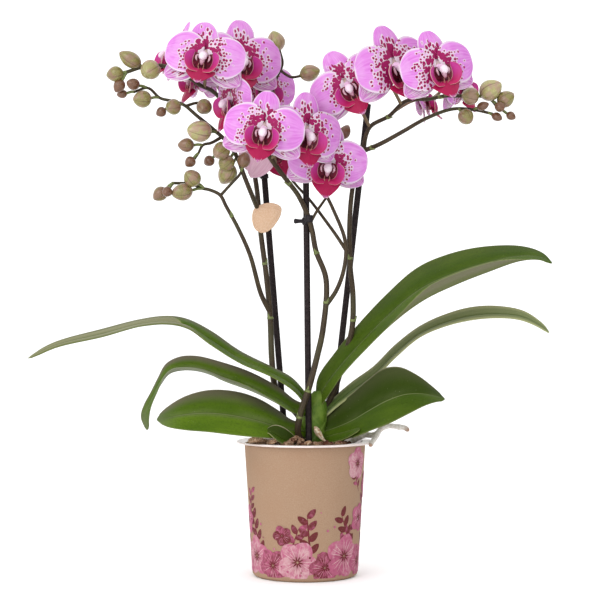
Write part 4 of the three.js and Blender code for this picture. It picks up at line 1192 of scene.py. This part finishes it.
def stalk(skin, letter, places):
    """A bloom's stalk, which ends straight behind its hub."""
    back = bloom_frame(letter)
    ends = [np.array(back @ Matrix.Translation((0, HUB_BACK + gap, 0)).to_translation())
            for gap in (STALK_STRAIGHT, STALK_GAP)]
    path = even_curve([*places, *ends], STALK_STEP)
    share = np.linspace(0, 1, len(path))
    tube(skin, path, TWIG_RADIUS * (1.2 - 0.2 * share), 10, 0, 0.75)


def spike(name):
    skin = Skin()
    stems = []
    for places, first, last in STEMS[name]:
        route = spots(places)
        if stems:
            route[0] = stem_near(stems, route[0])[0]
        stems.append(stem_skin(skin, route, first, last, 14 if stems else 18))
    for foot, tip in BRACTS[name]:
        bract(skin, *stem_near(stems, spot(*foot)), spot(*tip))
    for centre, long, wide, start in BUDS[name]:
        bud(skin, spot(*centre), long * BUD_FULL, wide * BUD_FULL, stem_near(stems, spot(*start))[0])
    for letter, (start, *via) in STALKS[name].items():
        stalk(skin, letter, [stem_near(stems, spot(*start))[0], *(spot(*place) for place in via)])
    skin.piece(f"stems_{name}", [STEM_LOOK, BUD_LOOK, BRACT_LOOK], "stem", [f"spike_{name}"])


# Rods beside the spikes, grooved from end to end, and their clips
STAKES = {
    "left": ((287, 462, 15), (264, 172, 24)),
    "middle": ((309, 462, -11), (306, 180, 5)),
    "right": ((328, 462, 13), (368, 104, 19)),
}
GROOVE_DEEP = 0.09


def grooves(angle, _):
    """Four grooves along a rod."""
    return 1 - GROOVE_DEEP * np.abs(np.cos(2 * angle)) ** 14


def stake(name):
    foot, top = (spot(*place) for place in STAKES[name])
    shares = np.concatenate([[0, 0.0005], np.linspace(0.002, 0.998, 40), [0.9993, 1.0]])
    radii = np.full(len(shares), STAKE_RADIUS)
    radii[[0, -1]] = STAKE_RADIUS * 0.7
    radii[[1, -2]] = STAKE_RADIUS * 0.93
    skin = Skin()
    tube(skin, foot + (top - foot) * shares[:, None], radii, 48, lobes=grooves)
    skin.piece(f"rod_{name}", [STAKE_LOOK], "stake", [f"stake_{name}"])


COLLAR_HEIGHTS = np.array([-0.5, -0.47, -0.36, 0.0, 0.36, 0.47, 0.5])
COLLAR_SWELL = np.array([0.78, 0.92, 1.0, 0.95, 1.0, 0.92, 0.78])


def clip(side):
    """A collar round the rod and one round the stem beside it, with a short lever out to the left."""
    name = f"clip_{side}"
    low, high = (np.array(corner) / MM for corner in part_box(name))
    middle = (low + high) / 2
    tall = high[2] - low[2]
    foot, top = (spot(*place) for place in STAKES[side])
    rod = foot + (top - foot) * (middle[2] - foot[2]) / (top[2] - foot[2])
    stem = curve_at(spots(STEMS[side][0][0]), np.linspace(0, 1, 400))
    stem = stem[np.argmin(np.linalg.norm(stem - middle, axis=1))]
    skin = Skin()
    for centre, ahead, radius in ((rod, unit_vector(top - foot), STAKE_RADIUS + 0.8), (stem, [0, 0, 1], 2.9)):
        rings = centre + np.outer(tall * COLLAR_HEIGHTS, ahead)
        tube(skin, rings, radius * COLLAR_SWELL, 28)
    lever = np.linspace([low[0] + 0.2, rod[1] - 0.6, middle[2]], rod, 12)
    shares = np.linspace(0, 1, 12)
    tube(skin, lever, tall * (0.36 - 0.1 * np.sin(np.pi * shares) ** 2) * np.clip(shares * 8 + 0.6, 0, 1), 20)
    skin.piece(f"{name}_jaws", [CLIP_LOOK], "clip", [name])


# Tag: a rounded card, slightly bowed, with a fine pressed line inside its edge. Its front face is rings, each
# with its share of the card's size and how deep it is pressed
TAG_OUTLINE = [
    (254, 209), (262, 204), (273, 203), (281, 207), (281, 214), (277, 222), (270, 230), (262, 233),
    (255, 229), (252, 219),
]
TAG_RINGS = [(0.02, 0.0), (0.5, 0.0), (0.84, 0.0), (0.87, 0.12), (0.9, 0.0), (0.97, 0.0), (1.0, 0.25)]
TAG_DEPTH = 8
TAG_THICK = 0.8
TAG_BOW = 0.6


def tag():
    places = spots([(across, down, TAG_DEPTH) for across, down in TAG_OUTLINE])
    ring = curve_at(np.vstack([places[-2:], places, places[:2]]), np.linspace(2 / 13, 12 / 13, 81))[:-1]
    centre = ring.mean(axis=0)
    rows = []
    for share, deep in TAG_RINGS:
        row = centre + (ring - centre) * share
        row[:, 1] += deep + TAG_BOW * share * share - TAG_THICK / 2
        rows.append(row)
    back = [row + [0, TAG_THICK, 0] for row in rows[::-1]]
    skin = Skin()
    skin.grid(np.array(rows + back))
    skin.piece("tag_card", [TAG_LOOK], "tag", ["tag"])


# Roots
RIM_ROOT = [
    (344, 450, 7), (350, 443, 8), (357, 438, 8), (366, 435, 8), (374, 435, 6), (379, 431, 5), (384, 427, 4),
    (391, 426, 4), (399, 427, 4), (405, 428, 4), (409, 431, 4),
]
RIM_ROOT_END = [(379, 431, 5), (376, 437, -4), (373, 441, -13), (370, 446, -20)]
DRY_ROOT = [(315, 427, -9.5), (317, 431, -12), (320, 435, -13.5), (323, 439, -14.5), (327, 443, -15.5)]
DRY_ROOT_RADII = [0.9, 2.1, 2.0, 1.5, 0.8, 0.25]
RIM_ROOT_RADIUS = 2.2
RIM_ROOT_END_RADIUS = 1.9


def root_radii(path, radius, slimming):
    """A lumpy root that slims to a rounded end."""
    share = np.linspace(0, 1, len(path))
    lumps = 1 + 0.08 * np.sin(share * 31) + 0.05 * np.sin(share * 67 + 1)
    taper = 1 - slimming * share
    taper[-3:] *= [0.9, 0.7, 0.35]
    return radius * lumps * taper


def husk(angle, share):
    """The ragged skin of the dry root."""
    return 1 + 0.16 * np.cos(3 * angle + 5 * share) + 0.1 * np.sin(7 * angle) * np.sin(9 * share)


def roots():
    skin = Skin()
    for places, radius in ((RIM_ROOT, RIM_ROOT_RADIUS), (RIM_ROOT_END, RIM_ROOT_END_RADIUS)):
        path = even_curve(spots(places), 0.5)
        tube(skin, path, root_radii(path, radius, 0.2), 16)
    skin.piece("rim_root_skin", [ROOT_LOOK], "root", ["rim_root"])
    path = even_curve(spots(DRY_ROOT), 0.4)
    share = np.linspace(0, len(DRY_ROOT_RADII) - 1, len(path))
    radii = np.interp(share, range(len(DRY_ROOT_RADII)), DRY_ROOT_RADII)
    skin = Skin()
    tube(skin, path, radii, 24, lobes=husk)
    skin.piece("dry_root_skin", [DRY_ROOT_LOOK], "dry_root", ["dry_root"])


# The wrap: where round the pot its seam lies, how far its lap reaches and its thickness. Then the feet of
# both pots, as radii and heights
WRAP_SEAM = 1.75
WRAP_LAP = 0.5
WRAP_THICK = 1.2
WRAP_SIDES = 360
INNER_SIDES = 200
WRAP_FOOT = [(1, 0.0), (18, 0.0), (33.6, 0.0), (34.6, 0.15), (35.6, 0.7), (36.4, 1.6)]
INNER_FOOT_OUTSIDE = [(1, 4.0), (20, 4.0), (32, 4.0), (33.4, 4.6), (35.0, 7.0)]
INNER_FOOT_INSIDE = [(34.0, 7.2), (32.2, 5.2), (31.6, 4.9), (1, 4.9)]

# The flange from its underside round its edge to its face, inward from the edge and down from the top, and
# the neck inside it, outward from its radius and down from the top
FLANGE_EDGE = [(0.5, FLANGE_THICK), (0.1, 1.05), (0, 0.65), (0.1, 0.25), (0.5, 0), (1.6, 0), (2.0, 0.2)]
NECK = [(1.2, 0.2), (0.4, 0.45), (0, 1.2)]


def outer_radius(height):
    return POT_FOOT_RADIUS + (POT_TOP_RADIUS - POT_FOOT_RADIUS) * height / POT_HEIGHT


def wrap_ripple(angle, height):
    """The lapped seam at the back, and slight waves in the paper."""
    past_seam = (angle - WRAP_SEAM) % TURN
    lap = 0.35 * np.clip(1 - past_seam / WRAP_LAP, 0, 1) * (past_seam > 0.004)
    waves = 0.08 * np.sin(3 * angle + 0.05 * height) + 0.05 * np.sin(11 * angle + 1.0)
    return lap + waves * np.clip(height / 10, 0, 1)


def cover_pot():
    _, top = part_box("cover_pot")
    rim = top.z / MM
    rim_radius = outer_radius(rim)
    wall = [(outer_radius(z), z) for z in np.linspace(2.6, rim - 0.4, 60)]
    edge = [(rim_radius - 0.25, rim), (rim_radius - 1.0, rim), (rim_radius - WRAP_THICK, rim - 0.5)]
    inside = [(outer_radius(60) - WRAP_THICK, 60), (outer_radius(6) - WRAP_THICK, 6), (33, 1.6), (1, 1.4)]
    skin = Skin()
    skin.grid(turned(WRAP_FOOT + wall + edge + inside, WRAP_SIDES, wrap_ripple), capped=False)
    skin.piece("kraft_cover", [KRAFT_LOOK], "kraft_wrap", ["cover_pot"])


def grow_pot():
    low = POT_HEIGHT - FLANGE_THICK
    wall = [(outer_radius(low) - 1.7, low - 1.6), (outer_radius(low) - 1.3, low)]
    edge = [(FLANGE_RADIUS - inward, POT_HEIGHT - down) for inward, down in FLANGE_EDGE]
    neck = [(RIM_INNER_RADIUS + outward, POT_HEIGHT - down) for outward, down in NECK]
    skin = Skin()
    skin.grid(turned(INNER_FOOT_OUTSIDE + wall + edge + neck + INNER_FOOT_INSIDE, INNER_SIDES), capped=False)
    skin.piece("plastic_pot", [POT_LOOK], "pot_plastic", ["grow_pot"])


# Printed flowers round the wrap: angle from the front in degrees, height, size, turn in degrees and depth of
# ink
BLOSSOMS = [
    (-62, 16, 28, 20, 0.3), (-36, 11, 24, 50, 0.6), (-8, 14, 29, -10, 0.25), (21, 10, 22, 30, 0.75),
    (45, 17, 30, 5, 0.4), (73, 12, 25, 40, 0.6), (98, 17, 29, 15, 0.3), (128, 13, 25, 25, 0.65),
    (158, 17, 29, -20, 0.35), (188, 12, 22, 10, 0.75), (216, 16, 29, 35, 0.4), (246, 12, 24, 0, 0.65),
    (272, 16, 27, 20, 0.3), (68, 42, 20, 0, 0.6), (60, 80, 23, 15, 0.3), (86, 64, 19, 40, 0.5),
    (-80, 40, 20, 10, 0.45), (170, 44, 22, 10, 0.5), (150, 72, 19, 35, 0.35), (-24, 32, 14, 40, 0.75),
]
SPRIGS = [
    (-50, 30, 32, 110, 0.95), (-20, 26, 28, 70, 0.85), (6, 30, 33, 95, 1.0), (31, 27, 28, 60, 0.8),
    (57, 34, 30, 115, 0.95), (84, 30, 32, 80, 0.9), (112, 28, 30, 100, 0.85), (142, 30, 32, 70, 1.0),
    (172, 29, 32, 105, 0.9), (202, 28, 30, 80, 0.85), (230, 30, 31, 100, 0.95), (258, 29, 29, 75, 0.9),
    (74, 58, 28, 75, 0.9), (66, 70, 20, 120, 0.8), (-72, 50, 24, 80, 0.8), (158, 60, 26, 100, 0.9),
]
DOT_COUNT = 90
PRINT_PROUD = 0.05
PRINT_STEP = 0.0004


def on_wrap(angle, height, across, up, proud):
    """Places on the wrap for flat distances from a spot on it."""
    z = np.clip(height + up, 2.8, POT_HEIGHT - 2.6)
    turn = math.radians(angle - 90) + across / outer_radius(z)
    radius = outer_radius(z) + wrap_ripple(turn, z) + proud
    return stacked(radius * np.cos(turn), radius * np.sin(turn), z)


class Print:
    """Flat printed shapes, each laid a hair above the one before it."""

    def __init__(self, seed):
        self.skin = Skin()
        self.chance = random.Random(seed)
        self.proud = PRINT_PROUD

    def blade(self, angle, height, turn, reach, long, wide, tone, blunt=0.6):
        """A petal or leaflet that starts a little way from a spot."""
        u, v = np.meshgrid(np.linspace(0, 1, 11), np.linspace(-1, 1, 9), indexing="ij")
        along = reach + long * u
        across = wide / 2 * v * np.sin(np.pi * u ** 0.8) ** blunt
        x = along * math.cos(turn) - across * math.sin(turn)
        y = along * math.sin(turn) + across * math.cos(turn)
        self.proud += PRINT_STEP
        unit = stacked(u, v, tone + self.chance.uniform(-0.15, 0.15))
        self.skin.grid(on_wrap(angle, height, x, y, self.proud), 0, unit, closed=False, capped=False)

    def blossom(self, angle, height, size, turn, tone):
        """Five petals with dark lines on them, round a ring of short stamens."""
        for k in range(5):
            heading = math.radians(turn + 72 * k + self.chance.uniform(-6, 6))
            self.blade(angle, height, heading, size * 0.05, size * 0.47, size * 0.48, tone, 0.5)
            for side in (-0.3, 0.0, 0.3):
                self.blade(angle, height, heading + side, size * 0.1, size * 0.3, size * 0.018, tone - 0.4)
        for k in range(9):
            heading = math.radians(turn + 36 + 40 * k)
            self.blade(angle, height, heading, size * 0.02, size * 0.13, size * 0.035, 1.1)

    def sprig(self, angle, height, size, turn, tone):
        """A straight twig with seven leaflets, on its two sides in turn."""
        heading = math.radians(turn)
        low = height - size / 2
        self.blade(angle, low, heading, 0, size, size * 0.04, tone)
        for k in range(7):
            out = size * (0.2 + 0.12 * k)
            place = angle + math.degrees(out * math.cos(heading) / outer_radius(height))
            up = low + out * math.sin(heading)
            aside = 0.8 if k % 2 else -0.8
            self.blade(place, up, heading + aside, 0.4, size * 0.26, size * 0.14, tone)

    def dot(self):
        size = self.chance.uniform(0.8, 2.0)
        height = 4 + 46 * self.chance.random() ** 1.6
        self.blade(self.chance.uniform(0, 360), height, 0, 0, size, size, self.chance.uniform(0.2, 0.9), 0.5)


def wrap_print():
    drawn = Print(11)
    for place in SPRIGS:
        drawn.sprig(*place)
    for place in BLOSSOMS:
        drawn.blossom(*place)
    for _ in range(DOT_COUNT):
        drawn.dot()
    drawn.skin.piece("wrap_print", [INK_LOOK], "kraft_wrap")


# Bark: a lumpy plug with loose chips on its top
CHIP_COUNT = 230
HEAP_HEIGHT = 5
HEAP_REACH = 24
PLUG_SIDES = 96
PLUG_LOWER = 0.8

# Large chips at the front: place in the view and depth, half sizes, and how pale
FRONT_CHIPS = [
    ((260, 441, -26), (8.0, 4.5, 2.0), 1.0), ((272, 442, -29), (5.5, 3.2, 1.7), 0.9),
    ((252, 443, -22), (4.0, 3.0, 1.6), 0.7), ((308, 443, -29), (2.6, 1.8, 1.2), 0.9),
]

# Crumbs heaped at the front: the heap's top, how far it spreads, how many crumbs, and how pale
CRUMB_HEAPS = [
    ((296, 437, -25), 6.0, 60, 0.35), ((286, 442, -29), 4.0, 30, 0.5), ((304, 443, -28), 4.0, 26, 0.3),
    ((316, 442, -26), 5.0, 34, 0.3), ((328, 441, -23), 6.0, 44, 0.05), ((340, 441, -21), 6.0, 44, 0.1),
]
CRUMB_SIZE = np.array([1.0, 0.8, 0.7])


def chip_height(x, y):
    """The height of the bark's uneven top."""
    wave = np.sin(x * 0.55 + 1.3 * np.sin(y * 0.31)) * np.cos(y * 0.47 + 0.8 * np.sin(x * 0.23))
    heap = HEAP_HEIGHT * np.exp(-(x * x + y * y) / HEAP_REACH ** 2)
    return BARK_TOP + 1.4 * wave + heap


def chip(skin, centre, size, chance, tone):
    """A rough block, turned at random."""
    rows, columns = 6, 9
    up = np.linspace(-math.pi / 2, math.pi / 2, rows)[:, None]
    around = np.arange(columns) * TURN / columns
    ball = stacked(np.cos(up) * np.cos(around), np.cos(up) * np.sin(around), np.sin(up))
    block = np.sign(ball) * np.abs(ball) ** 0.7
    rough = np.array([[chance.uniform(0.7, 1.25) for _ in range(columns)] for _ in range(rows)])
    turn = Matrix.Identity(3)
    for axis, least, most in (("Z", 0, 6.28), ("X", -0.5, 0.5), ("Y", -0.5, 0.5)):
        turn = turn @ Matrix.Rotation(chance.uniform(least, most), 3, axis)
    skin.grid((block * rough[..., None] * size) @ np.array(turn).T + centre, 0, (0, 0, tone))


def bark():
    skin = Skin()
    profile = [(1, 5.5), (28, 5.5), (33, 11), (BARK_RADIUS - 1.2, BARK_TOP - 3)]
    profile += [(BARK_RADIUS * share, BARK_TOP) for share in np.linspace(0.97, 0.02, 16)]
    plug = turned(profile, PLUG_SIDES)
    plug[4:, :, 2] = chip_height(plug[4:, :, 0], plug[4:, :, 1]) - PLUG_LOWER
    skin.grid(plug)
    chance = random.Random(5)
    for _ in range(CHIP_COUNT):
        far = (BARK_RADIUS - 5) * math.sqrt(chance.random())
        turn = chance.uniform(0, TURN)
        x, y = far * math.cos(turn), far * math.sin(turn)
        size = np.array([chance.uniform(2.2, 4.6), chance.uniform(1.6, 3.2), chance.uniform(0.7, 1.6)])
        centre = np.array([x, y, float(chip_height(x, y)) + chance.uniform(-0.6, 0.8)])
        chip(skin, centre, size, chance, chance.choice([0.0, 0.1, 0.25, 0.9]))
    for place, half_sizes, pale in FRONT_CHIPS:
        chip(skin, spot(*place), np.array(half_sizes), chance, pale)
    for place, spread, count, pale in CRUMB_HEAPS:
        for _ in range(count):
            aside, behind = (chance.gauss(0, spread / 2.2) for _ in range(2))
            down = 0.4 * (abs(aside) + abs(behind)) + chance.uniform(0, 1.5)
            size = CRUMB_SIZE * chance.uniform(0.6, 1.9)
            chip(skin, spot(*place) + [aside, behind, -down], size, chance, pale + chance.uniform(-0.3, 0.35))
    skin.piece("bark_chips", [BARK_LOOK], "bark", ["bark_mix"], smooth=False)


# Everything in place
cover_pot()
grow_pot()
wrap_print()
bark()
crown()
for leaf_name, margins in LEAVES.items():
    leaf(leaf_name, *margins)
for spike_name in STEMS:
    spike(spike_name)
    stake(spike_name)
for bloom_letter in BLOOMS:
    bloom(bloom_letter)
    lip(bloom_letter)
for clip_side in ("left", "middle"):
    clip(clip_side)
tag()
roots()


# Floor, light and camera: sizes and places in metres, and the lights' power
FLOOR_REACH = 20.0
WORLD_LIGHT = 1.36
KEY_PLACE = (-1.3, -2.0, 1.1)
KEY_AIM = (0.0, 0.0, 0.25)
KEY_SIZE = 1.6
KEY_POWER = 20


def floor():
    mesh = bpy.data.meshes.new("floor")
    corners = [(x * FLOOR_REACH, y * FLOOR_REACH, 0) for x, y in ((-1, -1), (1, -1), (1, 1), (-1, 1))]
    mesh.from_pydata(corners, [], [(0, 1, 2, 3)])
    look = Look("floor", Roughness=0.9, Specular_IOR_Level=0.1)
    look.paint(look.mix(look.noise(look.here(1.0), 6.0), colour("FDFDFD", 1.0), colour("FAFAFA", 1.0)))
    mesh.materials.append(look.material)
    obj = placed("floor", mesh)


def key_light():
    data = bpy.data.lights.new("key", "AREA")
    data.size = KEY_SIZE
    data.energy = KEY_POWER
    obj = placed("key", data)
    obj.location = KEY_PLACE
    obj.rotation_euler = (Vector(KEY_AIM) - obj.location).to_track_quat("-Z", "Y").to_euler()


def world_light():
    """White light from all round, with none from low on the right."""
    world = bpy.data.worlds.new("studio")
    bpy.context.scene.world = world
    world.use_nodes = True
    background = world.node_tree.nodes["Background"]
    background.inputs["Color"].default_value = (1.0, 1.0, 1.0, 1.0)
    nodes = Nodes(world.node_tree)
    direction = nodes.add("TexCoord", "Generated")
    low_right = direction.axis("X").band(0.5, 0.9) * direction.axis("Z").band(0.55, 0.15)
    strength = nodes.add("MapRange", 0, {"Value": low_right, "To Min": WORLD_LIGHT, "To Max": 0.0})
    nodes.feed(background.inputs["Strength"], strength)
    bpy.context.scene.view_settings.view_transform = "Standard"


def camera():
    data = bpy.data.cameras.new("camera")
    data.angle = 2 * math.atan(PIXEL * MIDDLE_PIXEL / EYE_DISTANCE)
    obj = placed("camera", data)
    obj.location = (EYE_ACROSS * MM, -EYE_DISTANCE * MM, EYE_HEIGHT * MM)
    obj.rotation_euler = (math.pi / 2, 0, 0)
    bpy.context.scene.camera = obj


floor()
key_light()
world_light()
camera()
